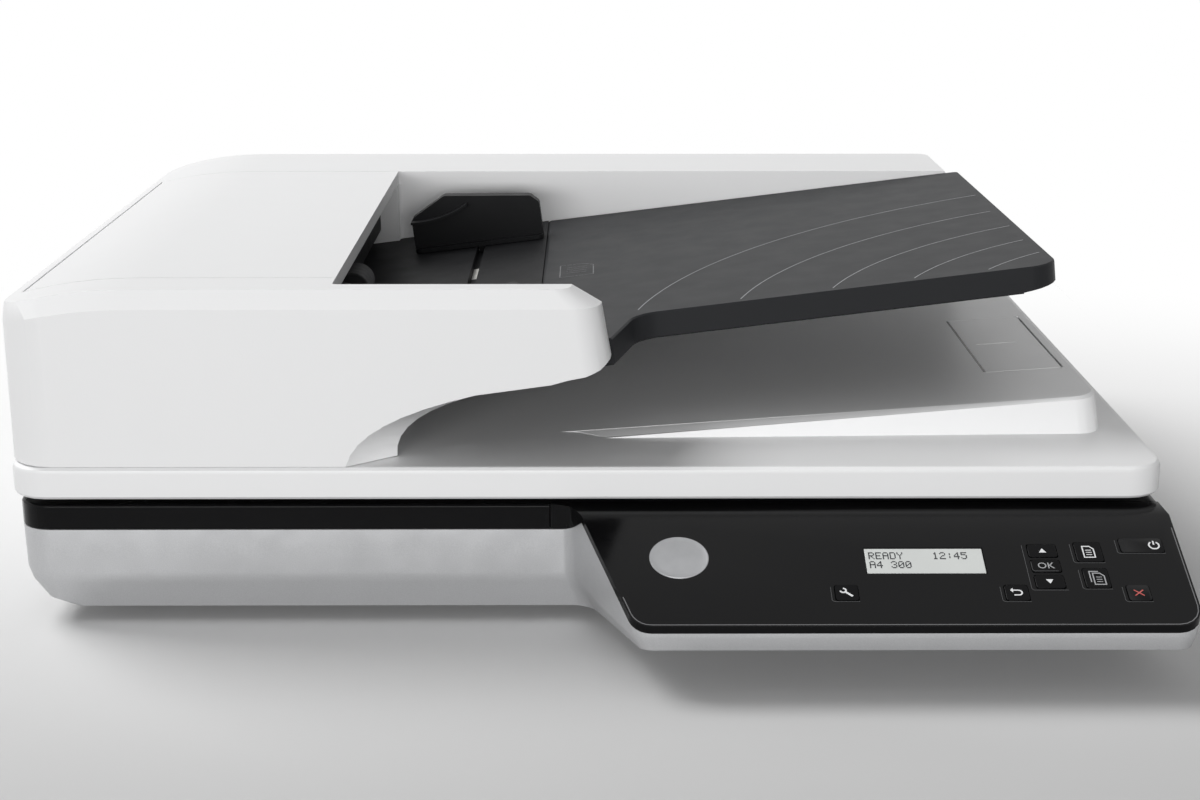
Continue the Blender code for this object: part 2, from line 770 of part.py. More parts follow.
def housing_levels(wall=0.0):
    """Heights of the lower housing from its bottom up, with side insets and end insets."""
    low = HOUSING_LOW
    return [
        (low + wall, HOUSING_BOTTOM_SIDE + wall / 2, HOUSING_BOTTOM_INSET + wall / 2),
        (low + HOUSING_SKIRT_HEIGHT + wall / 2, HOUSING_SKIRT_SIDE + wall, HOUSING_SKIRT_INSET + wall),
        (low + HOUSING_TUCK_HEIGHT, HOUSING_TUCK_SIDE + wall, HOUSING_TUCK_INSET + wall),
        (low + HOUSING_CREASE_HEIGHT, HOUSING_CREASE_SIDE + wall, HOUSING_CREASE_INSET + wall),
        (HOUSING_TOP + (OVERRUN if wall else 0), wall, wall),
    ]


def ledge_outline(inset, left, root, back, side=0.0):
    """The control ledge seen from above. Its swept side springs from the base's front face."""
    wall_y = BASE_FRONT + inset
    front_x = LEDGE_LEFT_X + LEDGE_SPLAY + inset
    right = HALF_BASE - side
    return rounded(
        [
            (left, wall_y + root, 0),
            (LEDGE_LEFT_X + inset, wall_y, LEDGE_FILLET + inset),
            (front_x, LEDGE_FRONT + inset, max(LEDGE_LEFT_CORNER - inset, LEAST_ROUND)),
            (right, LEDGE_FRONT + inset, max(LEDGE_RIGHT_CORNER - inset, LEAST_ROUND)),
            (right, wall_y + back, 0),
            (left, wall_y + back, 0),
        ]
    )


def slope_z(y, down):
    """Height of the control slope at this Y, this far under its face."""
    return BEZEL_TOP - down - max(0.0, BEND_Y - y) * math.tan(PANEL_SLOPE)


def ledge_profile(wall):
    """Side view of the lower ledge, or of the hollow inside it."""
    back = BASE_FRONT + HOUSING_BOTTOM_INSET + WALL + LEDGE_ROOT_DEPTH + OVERRUN
    down = PANEL_EDGE + GAP
    lift = OVERRUN if wall else 0
    front = LEDGE_FRONT - OVERRUN
    foot = slope_z(LEDGE_FRONT, down) - LEDGE_FACE + wall
    return [
        (back, HOUSING_TOP + lift),
        (BASE_FRONT, HOUSING_TOP + lift),
        (BEND_Y, slope_z(BEND_Y, down) + lift),
        (front, slope_z(front, down) + lift),
        (front, foot),
        (LEDGE_FRONT, foot),
        (LEDGE_FRONT + LEDGE_FOOT_CUT, foot - LEDGE_FOOT_CUT),
        (BASE_FRONT + LEDGE_TUCK, HOUSING_LOW + wall),
        (back, HOUSING_LOW + wall - OVERRUN),
    ]


def lower_ledge(name, frame, wall):
    """The ledge's lower shell, or the hollow inside it."""
    rings = [
        at_height(ledge_outline(end, LEDGE_START_X, LEDGE_ROOT, LEDGE_ROOT_DEPTH, side), z)
        for z, side, end in housing_levels(wall)
    ]
    rings.append([(x, y, BEZEL_TOP + OVERRUN) for x, y, _ in rings[-1]])
    ledge = tool(name, loft(rings), frame)
    side = slab(ledge_profile(wall), -HALF_BASE, HALF_BASE + OVERRUN, "YZ")
    keep_inside(ledge, tool(name + "_side", side, frame))
    return ledge


def build_lower_housing(root):
    housing = piece("lower_housing", base_block(housing_levels()), root, "silver_shell")
    join(housing, lower_ledge("ledge_shell", root, 0.0))
    cut(housing, tool("base_hollow", base_block(housing_levels(WALL)), root))
    cut(housing, lower_ledge("ledge_hollow", root, WALL))
    add_base_bosses(housing, root)
    cut_socket_windows(housing, root)
    for side in (-1, 1):
        cut(housing, tool(f"housing_hinge_notch_{side}", hinge_notch(side), root))
    return housing


def add_base_bosses(housing, root):
    """Board bosses, the idler's post and the rod's cradles stand on the housing's floor."""
    sunk = FLOOR_TOP - WALL / 2
    for index, (x, y) in enumerate(main_board_bosses()):
        boss = moved(rod(BOSS_RADIUS, sunk, MAIN_BOARD_LOW - GAP, "Z", 12), (x, y, 0))
        join(housing, tool(f"board_boss_{index}", boss, root))
    post = moved(rod(PULLEY_PIN_RADIUS, sunk, PULLEY_TOP, "Z", 12), (IDLER_X, BELT_Y, 0))
    join(housing, tool("idler_post", post, root))
    for index, x in enumerate((ROD_LEFT, ROD_RIGHT - CRADLE_LENGTH)):
        low = (x, ROD_Y - CRADLE_WIDTH / 2, sunk)
        high = (x + CRADLE_LENGTH, ROD_Y + CRADLE_WIDTH / 2, ROD_Z)
        join(housing, tool(f"rod_cradle_{index}", box(low, high), root))
    trough = rod(ROD_RADIUS + GAP, ROD_LEFT - OVERRUN, ROD_RIGHT + OVERRUN, "X", 16)
    cut(housing, tool("rod_trough", moved(trough, (0, ROD_Y, ROD_Z)), root))


def cut_socket_windows(housing, root):
    for name, x, width in (("usb", USB_X, USB_WIDTH), ("power", POWER_X, POWER_WIDTH)):
        half = width / 2 + GAP
        low = (x - half, BASE_BACK - WALL * 2, SOCKET_LOW - GAP)
        high = (x + half, BASE_BACK + OVERRUN, SOCKET_LOW + SOCKET_HEIGHT + GAP)
        cut(housing, tool(name + "_window", box(low, high), root))


def build_bezel(root):
    levels = [(BEZEL_LOW, 0), *soft_top(BEZEL_TOP, BEZEL_EDGE, 1)]
    bezel = piece("top_bezel", base_block(levels), root, "gloss_black")
    hollow = [(BEZEL_LOW - OVERRUN, WALL), (BEZEL_TOP - BEZEL_PLATE, WALL)]
    cut(bezel, tool("bezel_hollow", base_block(hollow), root))
    panes = (("platen", PLATEN_LEFT, PLATEN_RIGHT), ("strip", STRIP_LEFT, STRIP_RIGHT))
    for name, left, right in panes:
        low = (left, PAPER_FRONT, BEZEL_LOW)
        window = box(low, (right, PAPER_BACK, BEZEL_TOP + OVERRUN))
        cut(bezel, tool(name + "_window", window, root))
        rim = GLASS_MARGIN + GAP
        low = (left - rim, PAPER_FRONT - rim, BEZEL_LOW)
        rebate = box(low, (right + rim, PAPER_BACK + rim, BEZEL_TOP - GLASS_LIP))
        cut(bezel, tool(name + "_rebate", rebate, root))
        low = (left - GLASS_MARGIN, PAPER_FRONT - GLASS_MARGIN, GLASS_LOW)
        pane = box(low, (right + GLASS_MARGIN, PAPER_BACK + GLASS_MARGIN, GLASS_TOP))
        piece(name + "_glass", pane, root, "glass")
    low = (PANEL_SEAM_X - GAP, BASE_FRONT - OVERRUN, BEZEL_LOW - OVERRUN)
    high = (HALF_BASE + OVERRUN, BASE_FRONT + PANEL_BACK + GAP, BEZEL_TOP + OVERRUN)
    cut(bezel, tool("panel_gap", box(low, high), root))
    for side in (-1, 1):
        cut(bezel, tool(f"bezel_hinge_notch_{side}", hinge_notch(side), root))


def build_panel(root):
    """The glossy control panel: a shelf beside the bezel, then a slope down to the front."""
    outline = ledge_outline(0.0, PANEL_SEAM_X, 0.0, PANEL_BACK)
    panel = piece("control_panel", slab(outline, HOUSING_LOW, BEZEL_TOP + OVERRUN), root, "gloss_black")
    back = BASE_FRONT + PANEL_BACK + OVERRUN
    front = LEDGE_FRONT - OVERRUN
    side = [
        (back, BEZEL_TOP),
        (BEND_Y, BEZEL_TOP),
        (front, slope_z(front, 0)),
        (front, slope_z(front, PANEL_EDGE)),
        (BEND_Y, slope_z(BEND_Y, PANEL_EDGE)),
        (BASE_FRONT, BEZEL_LOW),
        (back, BEZEL_LOW),
    ]
    profile = slab(side, -HALF_BASE, HALF_BASE + OVERRUN, "YZ")
    keep_inside(panel, tool("panel_side", profile, root))
    low = (LEDGE_LEFT_X + LEDGE_SPLAY, BEND_Y, BEZEL_LOW - OVERRUN)
    hollow = box(low, (HALF_BASE - WALL, back, BEZEL_TOP - PANEL_EDGE))
    cut(panel, tool("panel_hollow", hollow, root))
    slope = Frame("panel_slope", (0, BEND_Y, BEZEL_TOP), root, (PANEL_SLOPE, 0, 0))
    for index, (x, y) in enumerate(BOARD_BOSSES):
        boss = moved(rod(BOSS_RADIUS, -BOARD_DROP + GAP, -PANEL_SKIN / 2, "Z", 12), (x, -y, 0))
        join(panel, tool(f"panel_boss_{index}", boss, slope))
    for name, (x, down, width, height) in KEYS.items():
        build_key(name, panel, slope, (x, -down, 0), width, height)
    build_display(panel, slope)
    low = (BOARD_LEFT_X, -BOARD_BOTTOM_DOWN, -BOARD_DROP - BOARD_THICKNESS)
    high = (HALF_BASE - BOARD_RIGHT_MARGIN, -BOARD_TOP_DOWN, -BOARD_DROP)
    piece("control_board", box(low, high), slope, "board_green")


def build_key(name, panel, slope, at, width, height):
    """A flush key with a flange at each side, which holds it under the panel."""
    axis = Frame(name + "_axis", at, slope, (0, 0, 0))
    half_x, half_y = width / 2, height / 2
    hole = slab(oblong(-half_x, half_x, -half_y, half_y, KEY_CORNER, 2), -PANEL_EDGE * 2, OVERRUN)
    cut(panel, tool(name + "_hole", hole, axis))
    cap_x, cap_y = half_x - KEY_CLEAR, half_y - KEY_CLEAR
    cap = slab(oblong(-cap_x, cap_x, -cap_y, cap_y, KEY_CORNER, 2), -KEY_DEPTH, KEY_STAND)
    key = piece(name, cap, axis, "key_black")
    low = (-half_x - KEY_FLANGE_DEPTH, -cap_y + KEY_CORNER, -KEY_DEPTH)
    high = (half_x + KEY_FLANGE_DEPTH, cap_y - KEY_CORNER, -KEY_DEPTH + KEY_FLANGE)
    join(key, tool(name + "_flange", box(low, high), axis))


def build_display(panel, slope):
    half_x, half_y = DISPLAY_WIDTH / 2, DISPLAY_HEIGHT / 2
    centre = (DISPLAY_X, -DISPLAY_DOWN, 0)
    opening = moved(box((-half_x, -half_y, -PANEL_EDGE * 2), (half_x, half_y, OVERRUN)), centre)
    cut(panel, tool("display_opening", opening, slope))
    half_x, half_y = half_x - KEY_CLEAR, half_y - KEY_CLEAR
    back = -DISPLAY_SINK - DISPLAY_WINDOW_THICKNESS
    window = box((-half_x, -half_y, back), (half_x, half_y, -DISPLAY_SINK))
    piece("display_window", window, slope, "display", centre)
    module = box((-half_x, -half_y, -BOARD_DROP + GAP), (half_x, half_y, back - GAP))
    piece("display_module", module, slope, "matt_black", centre)


def build_feet(root):
    for side, x in (("left", -HALF_BASE + FOOT_IN_X), ("right", HALF_BASE - FOOT_IN_X)):
        for end, y in (("front", BASE_FRONT + FOOT_IN_FRONT), ("back", BASE_BACK - FOOT_IN_BACK)):
            bm = rod(FOOT_RADIUS, FOOT_SOLE_CUT, FOOT_HEIGHT, "Z", 16)
            foot = piece(f"foot_{end}_{side}", bm, root, "rubber", (x, y, 0))
            sole = rod(FOOT_RADIUS - FOOT_SOLE_CUT, 0, FOOT_SOLE_CUT * 2, "Z", 16)
            join(foot, tool(f"sole_{end}_{side}", sole, root, (x, y, 0)))


def main_board_bosses():
    inset = BOSS_RADIUS * 2
    xs = (MAIN_BOARD_LEFT_X + inset, MAIN_BOARD_LEFT_X + MAIN_BOARD_LENGTH - inset)
    ys = (MAIN_BOARD_FRONT + inset, MAIN_BOARD_BACK - inset)
    return [(x, y) for x in xs for y in ys]


def build_electronics(root):
    low = (MAIN_BOARD_LEFT_X, MAIN_BOARD_FRONT, MAIN_BOARD_LOW)
    high = (MAIN_BOARD_LEFT_X + MAIN_BOARD_LENGTH, MAIN_BOARD_BACK, MAIN_BOARD_LOW + BOARD_THICKNESS)
    piece("main_board", box(low, high), root, "board_green")
    back = BASE_BACK - SOCKET_INSET
    middle = SOCKET_LOW + SOCKET_HEIGHT / 2

    half = USB_WIDTH / 2
    body = box((USB_X - half, back - SOCKET_DEPTH, SOCKET_LOW), (USB_X + half, back, SOCKET_LOW + SOCKET_HEIGHT))
    port = piece("usb_port", body, root, "steel")
    half, rise = USB_BORE_WIDTH / 2, USB_BORE_HEIGHT / 2
    low = (USB_X - half, back - USB_BORE_DEPTH, middle - rise)
    cut(port, tool("usb_bore", box(low, (USB_X + half, back + OVERRUN, middle + rise)), root))

    half = POWER_WIDTH / 2
    low = (POWER_X - half, back - SOCKET_DEPTH, SOCKET_LOW)
    body = box(low, (POWER_X + half, back, SOCKET_LOW + SOCKET_HEIGHT))
    jack = piece("power_jack", body, root, "matt_black")
    bore = rod(POWER_BORE_RADIUS, back - POWER_BORE_DEPTH, back + OVERRUN, "Y", 16)
    cut(jack, tool("power_bore", moved(bore, (POWER_X, 0, middle)), root))
    pin = rod(POWER_PIN_RADIUS, back - SOCKET_DEPTH / 2 - WALL, back - WALL / 2, "Y", 10)
    join(jack, tool("power_pin", moved(pin, (POWER_X, 0, middle)), root))


def build_scan_drive(root):
    """The carriage rides on one rod, pulled by a belt between a motor pulley and an idler."""
    guide = rod(ROD_RADIUS, ROD_LEFT + GAP, ROD_RIGHT - GAP, "X", 16)
    piece("guide_rod", guide, root, "steel", (0, ROD_Y, ROD_Z))

    carriage_axis = Frame("carriage_axis", (STRIP_X, PAPER_LINE_Y, CARRIAGE_LOW), root)
    half_x, half_y = CARRIAGE_LENGTH / 2, CARRIAGE_WIDTH / 2
    low = (STRIP_X - half_x, PAPER_LINE_Y - half_y, CARRIAGE_LOW)
    high = (STRIP_X + half_x, PAPER_LINE_Y + half_y, CARRIAGE_TOP)
    carriage = piece("scan_carriage", box(low, high), carriage_axis, "matt_black")
    half = CARRIAGE_SADDLE_WIDTH / 2
    low = (STRIP_X - half_x, ROD_Y - half, ROD_Z)
    saddle = box(low, (STRIP_X + half_x, ROD_Y + half, CARRIAGE_LOW + WALL))
    join(carriage, tool("carriage_saddle", saddle, carriage_axis))
    channel = rod(ROD_RADIUS + RUNNING, -half_x - OVERRUN, half_x + OVERRUN, "X", 16)
    cut(carriage, tool("carriage_channel", channel, carriage_axis, (STRIP_X, ROD_Y, ROD_Z)))
    clamp_y = BELT_Y - PULLEY_RADIUS
    low = (STRIP_X - half_x / 2, clamp_y - WALL, BELT_TOP + GAP)
    clamp = box(low, (STRIP_X + half_x / 2, clamp_y + WALL, CARRIAGE_LOW + WALL))
    join(carriage, tool("belt_clamp", clamp, carriage_axis))
    half = LIGHT_BAR_WIDTH / 2
    low = (STRIP_X - half, PAPER_FRONT, CARRIAGE_TOP - LIGHT_BAR_HEIGHT)
    well = box(low, (STRIP_X + half, PAPER_BACK, CARRIAGE_TOP + OVERRUN))
    cut(carriage, tool("light_well", well, carriage_axis))
    low = (STRIP_X - half + GAP, PAPER_FRONT + GAP, CARRIAGE_TOP - LIGHT_BAR_HEIGHT + GAP)
    bar = box(low, (STRIP_X + half - GAP, PAPER_BACK - GAP, CARRIAGE_TOP - GAP))
    piece("light_bar", bar, carriage_axis, "glass")

    for name, x, bore in (
        ("idler_pulley", IDLER_X, PULLEY_PIN_RADIUS),
        ("motor_pulley", MOTOR_X, MOTOR_SHAFT_RADIUS),
    ):
        axis = Frame(name + "_axis", (x, BELT_Y, 0), root)
        build_pulley(name, axis, (x, BELT_Y, 0), bore + RUNNING)
    motor = piece("drive_motor", rod(MOTOR_RADIUS, FLOOR_TOP + GAP, MOTOR_TOP, "Z"), root, "steel", (MOTOR_X, BELT_Y, 0))
    shaft = rod(MOTOR_SHAFT_RADIUS, MOTOR_TOP - WALL / 2, PULLEY_TOP, "Z", 12)
    join(motor, tool("motor_shaft", shaft, root, (MOTOR_X, BELT_Y, 0)))
    build_belt(root)


def build_pulley(name, axis, at, bore):
    flange = PULLEY_RADIUS + PULLEY_FLANGE
    pulley = piece(name, rod(flange, PULLEY_LOW, PULLEY_TOP, "Z"), axis, "gear_white", at)
    groove = rod(flange + OVERRUN, BELT_LOW - GAP, BELT_TOP + GAP, "Z")
    core = tool(name + "_core", rod(PULLEY_RADIUS, PULLEY_LOW - OVERRUN, PULLEY_TOP + OVERRUN, "Z"), axis, at)
    ring = tool(name + "_groove", groove, axis, at)
    cut(ring, core)
    cut(pulley, ring)
    cut(pulley, tool(name + "_bore", rod(bore, PULLEY_LOW - OVERRUN, PULLEY_TOP + OVERRUN, "Z", 12), axis, at))


def belt_outline(offset):
    """The belt's path round both pulleys, at this distance outside them."""
    radius = PULLEY_RADIUS + offset
    right = arc((MOTOR_X, BELT_Y), radius, -90, 90, 10)
    left = arc((IDLER_X, BELT_Y), radius, 90, 270, 10)
    return right + left


def build_belt(root):
    belt = piece("drive_belt", slab(belt_outline(GAP + BELT_THICKNESS), BELT_LOW, BELT_TOP), root, "rubber")
    inner = slab(belt_outline(GAP), BELT_LOW - OVERRUN, BELT_TOP + OVERRUN)
    cut(belt, tool("belt_inside", inner, root))


def hinge_x(side):
    return side * HINGE_SPAN / 2


def hinge_notch(side):
    """The space for a hinge base in the back wall."""
    half = HINGE_KNUCKLE / 2 + HINGE_EAR + GAP * 2
    low = (hinge_x(side) - half, BASE_BACK - HINGE_BLOCK_DEPTH - GAP, HINGE_Z - HINGE_BLOCK_DROP - GAP)
    return box(low, (hinge_x(side) + half, BASE_BACK + OVERRUN, BEZEL_TOP + OVERRUN))


def build_hinge(side, root, lid):
    name = "left" if side < 0 else "right"
    x = hinge_x(side)
    half = HINGE_KNUCKLE / 2 + HINGE_EAR + GAP
    low = HINGE_Z - HINGE_BLOCK_DROP
    outline = [
        (BASE_BACK - HINGE_BLOCK_DEPTH, low),
        *arc((HINGE_Y, HINGE_Z), HINGE_BARREL, 0, 180, 10),
        (HINGE_Y - HINGE_BARREL, BEZEL_TOP),
        (BASE_BACK - HINGE_BLOCK_DEPTH, BEZEL_TOP),
    ]
    outline.insert(1, (HINGE_Y + HINGE_BARREL, low))
    base = piece("hinge_base_" + name, slab(outline, x - half, x + half, "YZ"), root, "matt_black")
    gap = HINGE_KNUCKLE / 2 + GAP
    corner = HINGE_BARREL + GAP * 2
    throat = box(
        (x - gap, HINGE_Y - corner, HINGE_Z - corner),
        (x + gap, HINGE_Y + corner + OVERRUN, HINGE_Z + corner + OVERRUN),
    )
    cut(base, tool("hinge_throat_" + name, throat, root))
    bore = rod(HINGE_PIN_RADIUS + GAP, x - half - OVERRUN, x + half + OVERRUN, "X", 14)
    cut(base, tool("hinge_bore_" + name, moved(bore, (0, HINGE_Y, HINGE_Z)), root))
    pin = rod(HINGE_PIN_RADIUS, x - half, x + half, "X", 14)
    piece("hinge_pin_" + name, moved(pin, (0, HINGE_Y, HINGE_Z)), root, "steel")

    knuckle = rod(HINGE_BARREL, x - HINGE_KNUCKLE / 2, x + HINGE_KNUCKLE / 2, "X", 20)
    arm = piece("hinge_arm_" + name, moved(knuckle, (0, HINGE_Y, HINGE_Z)), lid, "steel")
    leaf_low = LID_LOW + LID_LINER + GAP
    leaf = box(
        (x - HINGE_KNUCKLE / 2, HINGE_Y - HINGE_LEAF_REACH, leaf_low),
        (x + HINGE_KNUCKLE / 2, HINGE_Y - HINGE_BARREL / 2, leaf_low + HINGE_LEAF_THICKNESS),
    )
    join(arm, tool("hinge_leaf_" + name, leaf, lid))
    bore = rod(HINGE_PIN_RADIUS + RUNNING, x - half, x + half, "X", 14)
    cut(arm, tool("knuckle_bore_" + name, moved(bore, (0, HINGE_Y, HINGE_Z)), lid))


def hinge_relief(side, frame, name):
    """The round space that a hinge's ears and knuckle need in the lid's back edge."""
    half = HINGE_KNUCKLE / 2 + HINGE_EAR + GAP * 2
    x = hinge_x(side)
    relief = rod(HINGE_BARREL + RUNNING, x - half, x + half, "X", 24)
    return tool(f"{name}_hinge_relief_{side}", moved(relief, (0, HINGE_Y, HINGE_Z)), frame)


def platform_z(x, down=0.0):
    return LID_TOP + (x - PLATFORM_START_X) * math.tan(PLATFORM_SLOPE) - down


def platform_wedge(wall):
    """The raised output platform, or the hollow under it."""
    left = PLATFORM_START_X - PLATFORM_LEAD + wall
    right = STOP_LEFT_X - PLATFORM_LEAD / 2 if wall else PLATFORM_RIGHT_X
    front, back = PLATFORM_FRONT_Y + wall, BAND_FRONT - GAP - wall

    def ring(flare, flare_left, height_at):
        corners = [
            (left, front - flare_left, 0),
            (right + flare, front - flare, PLATFORM_CORNER),
            (right + flare, back, LEAST_ROUND),
            (left, back, 0),
        ]
        return [(x, y, height_at(x)) for x, y in rounded(corners)]

    floor = LID_TOP - WALL - (OVERRUN if wall else GAP)
    rings = [
        ring(PLATFORM_FLARE, PLATFORM_FLARE_LEFT, lambda x: floor),
        ring(0, 0, lambda x: platform_z(x, PLATFORM_EDGE + wall)),
    ]
    if not wall:
        rings.append(ring(-PLATFORM_EDGE, -PLATFORM_EDGE, platform_z))
    bm = loft(rings)
    bmesh.ops.triangulate(bm, faces=bm.faces)
    return bm


def strip_opening(low, high):
    """The opening in the lid through which paper dips to the narrow glass and back."""
    half = PRESSER_WIDTH / 2 + GAP
    start = (STRIP_LEFT - GLASS_MARGIN, PAPER_LINE_Y - half, low)
    return box(start, (STRIP_RIGHT + GLASS_MARGIN, PAPER_LINE_Y + half, high))


def build_lid(lid):
    levels = [(LID_LOW, LID_EDGE_LOW), (LID_LOW + LID_EDGE_LOW, 0), *soft_top(LID_TOP, LID_EDGE_HIGH)]
    shell = piece("lid_shell", lid_block(levels), lid, "white_shell")
    join(shell, tool("platform_outer", platform_wedge(0.0), lid))
    pocket = [(LID_LOW - OVERRUN, WALL), (LID_TOP - WALL, WALL)]
    cut(shell, tool("lid_hollow", lid_block(pocket), lid))
    cut(shell, tool("platform_hollow", platform_wedge(WALL), lid))
    cut(shell, tool("lid_strip_opening", strip_opening(LID_LOW, LID_TOP + OVERRUN), lid))
    inset = WALL + GAP
    liner = piece("lid_liner", lid_block([(LID_LOW, inset), (LID_LOW + LID_LINER, inset)]), lid, "white_shell")
    opening = strip_opening(LID_LOW - OVERRUN, LID_LOW + LID_LINER + OVERRUN)
    cut(liner, tool("liner_strip_opening", opening, lid))
    for side in (-1, 1):
        cut(shell, hinge_relief(side, lid, "shell"))
        cut(liner, hinge_relief(side, lid, "liner"))
    low = (PLATEN_LEFT + PAD_MARGIN, PAPER_FRONT + PAD_MARGIN, GLASS_TOP + GAP)
    high = (PLATEN_RIGHT - PAD_MARGIN, PAPER_BACK - PAD_MARGIN, LID_LOW - GAP)
    piece("platen_pad", box(low, high), lid, "foam_white")
    low = (STRIP_X - PRESSER_LENGTH / 2, PAPER_LINE_Y - PRESSER_WIDTH / 2, GLASS_TOP + PRESSER_LIFT)
    high = (STRIP_X + PRESSER_LENGTH / 2, PAPER_LINE_Y + PRESSER_WIDTH / 2, LID_LOW + LID_LINER)
    piece("strip_presser", box(low, high), lid, "foam_white")
    build_paper_stop(shell, lid)


def build_paper_stop(shell, lid):
    """A flap let into the platform, hinged at its right edge, which stands up to stop long paper."""
    half_thick = STOP_THICKNESS / 2
    x = STOP_LEFT_X + STOP_LENGTH
    at = (x, PAPER_LINE_Y, platform_z(x, half_thick))
    axis = Frame("paper_stop_axis", at, lid, (0, -PLATFORM_SLOPE, 0))
    half = STOP_WIDTH / 2
    clear = RUNNING
    outline = [(-STOP_LENGTH, -half_thick), *arc((0, 0), half_thick, -90, 90, 6), (-STOP_LENGTH, half_thick)]
    flap = piece("paper_stop", slab(outline, -half, half, "XZ"), axis, "white_shell")
    pins = rod(STOP_PIN_RADIUS, -half - STOP_PIN_LENGTH, half + STOP_PIN_LENGTH, "Y", 10)
    join(flap, tool("stop_pins", pins, axis))
    low = (-STOP_LENGTH - clear, -half - clear, -half_thick - GAP)
    high = (half_thick + clear, half + clear, OVERRUN)
    cut(shell, tool("stop_pocket", box(low, high), axis))
    reach = half + STOP_PIN_LENGTH + GAP
    cut(shell, tool("stop_pin_bores", rod(STOP_PIN_RADIUS + GAP, -reach, reach, "Y", 10), axis))
    start = -STOP_LENGTH + STOP_GROOVE_START
    low = (start, -STOP_GROOVE_WIDTH / 2, half_thick - STOP_GROOVE_DEPTH)
    groove = box(low, (start + STOP_GROOVE_LENGTH, STOP_GROOVE_WIDTH / 2, OVERRUN))
    cut(flap, tool("stop_groove", groove, axis))


def feeder_ring(z, inset, side, end_in, band_end_in, inner_x):
    """The feeder body's outline at one height: a C that is open to the right."""
    left, right = FEEDER_LEFT_X + side, ARM_END_X - end_in
    front, back = LID_FRONT + inset, LID_BACK - inset
    corners = [
        (left, front, FEEDER_FRONT_CORNER - inset),
        (right, front, ARM_END_CORNER - inset),
        (right, ARM_BACK, LEAST_ROUND),
        (inner_x, ARM_BACK, INNER_CORNER),
        (inner_x, BAND_FRONT, INNER_CORNER),
        (BAND_END_X - band_end_in, BAND_FRONT, LEAST_ROUND),
        (BAND_END_X - band_end_in, back, BAND_CORNER - inset),
        (left, back, FEEDER_BACK_CORNER - inset),
    ]
    return at_height(rounded(corners), z)


def feeder_solid():
    """The outer form of the feeder body, with its chamfered top edge and its falling left end."""
    ledge = FEEDER_LOW + THROAT_LEDGE_HEIGHT
    chamfer = FEEDER_TOP - FEEDER_CHAMFER_DOWN
    share = (ledge - FEEDER_LOW) / (chamfer - FEEDER_LOW)
    draft = FEEDER_DRAFT
    top_in = draft + FEEDER_CHAMFER_IN
    arm_in, band_in = ARM_END_DRAFT, BAND_END_DRAFT
    inner = RECESS_LEFT_X
    rings = [
        feeder_ring(FEEDER_LOW, 0, 0, 0, 0, THROAT_X),
        feeder_ring(ledge, draft * share, 0, arm_in * share, band_in * share, THROAT_X),
        feeder_ring(ledge + THROAT_LEDGE_RISE, draft * share, 0, arm_in * share, band_in * share, inner),
        feeder_ring(chamfer, draft, 0, arm_in, band_in, inner),
        feeder_ring(
            FEEDER_TOP,
            top_in,
            FEEDER_SIDE_CHAMFER,
            arm_in + ARM_END_CHAMFER,
            band_in + FEEDER_CHAMFER_IN,
            inner,
        ),
    ]
    bm = loft(rings)
    for x in roof_stations():
        whole = [*bm.verts, *bm.edges, *bm.faces]
        bmesh.ops.bisect_plane(bm, geom=whole, plane_co=(x, 0, 0), plane_no=(1, 0, 0))
    for vert in bm.verts:
        if vert.co.z > chamfer - MERGE:
            vert.co.z += roof(vert.co.x) - FEEDER_TOP
    bmesh.ops.triangulate(bm, faces=bm.faces)
    return bm


def arm_curve(foot_x, belly_x, bend_x, lower):
    """The arm's lower edge seen from the front, from its toe round to its foot on the lid."""
    toe = (ARM_TOE_X, FEEDER_LOW + ARM_TOE_HEIGHT)
    turn = (ARM_TURN_X, FEEDER_LOW + ARM_TURN_HEIGHT)
    heel = (ARM_HEEL_X, FEEDER_LOW + ARM_HEEL_HEIGHT)
    belly = (belly_x, FEEDER_LOW + ARM_BELLY_HEIGHT - lower)
    bend = (bend_x, FEEDER_LOW + ARM_BEND_HEIGHT)
    sweep = bow(belly, bend, (foot_x, FEEDER_LOW), 8)
    right, low = ARM_END_X + OVERRUN, FEEDER_LOW - OVERRUN
    return [(right, toe[1] + OVERRUN), *bow(toe, turn, heel, 4), *sweep, (foot_x, low), (right, low)]


def arm_scoop():
    """What the arm's lower edge leaves free. The cut is wider at the back, so the underside
    shows as a scooped face."""
    front = arm_curve(ARM_FOOT_X, ARM_BELLY_X, ARM_BEND_X, 0)
    back = arm_curve(
        ARM_FOOT_X + SCOOP_WIDTH,
        ARM_BELLY_X + SCOOP_BELLY,
        ARM_BEND_X + SCOOP_BEND,
        SCOOP_DEEPER,
    )
    beyond = OVERRUN / ARM_THICKNESS
    rings = []
    for share in (-beyond, 1 + beyond / 4):
        y = LID_FRONT + ARM_THICKNESS * share
        mix = [
            (f[0] + (b[0] - f[0]) * share, y, f[1] + (b[1] - f[1]) * share)
            for f, b in zip(front, back)
        ]
        rings.append(mix)
    bm = loft(rings)
    bmesh.ops.triangulate(bm, faces=bm.faces)
    return bm


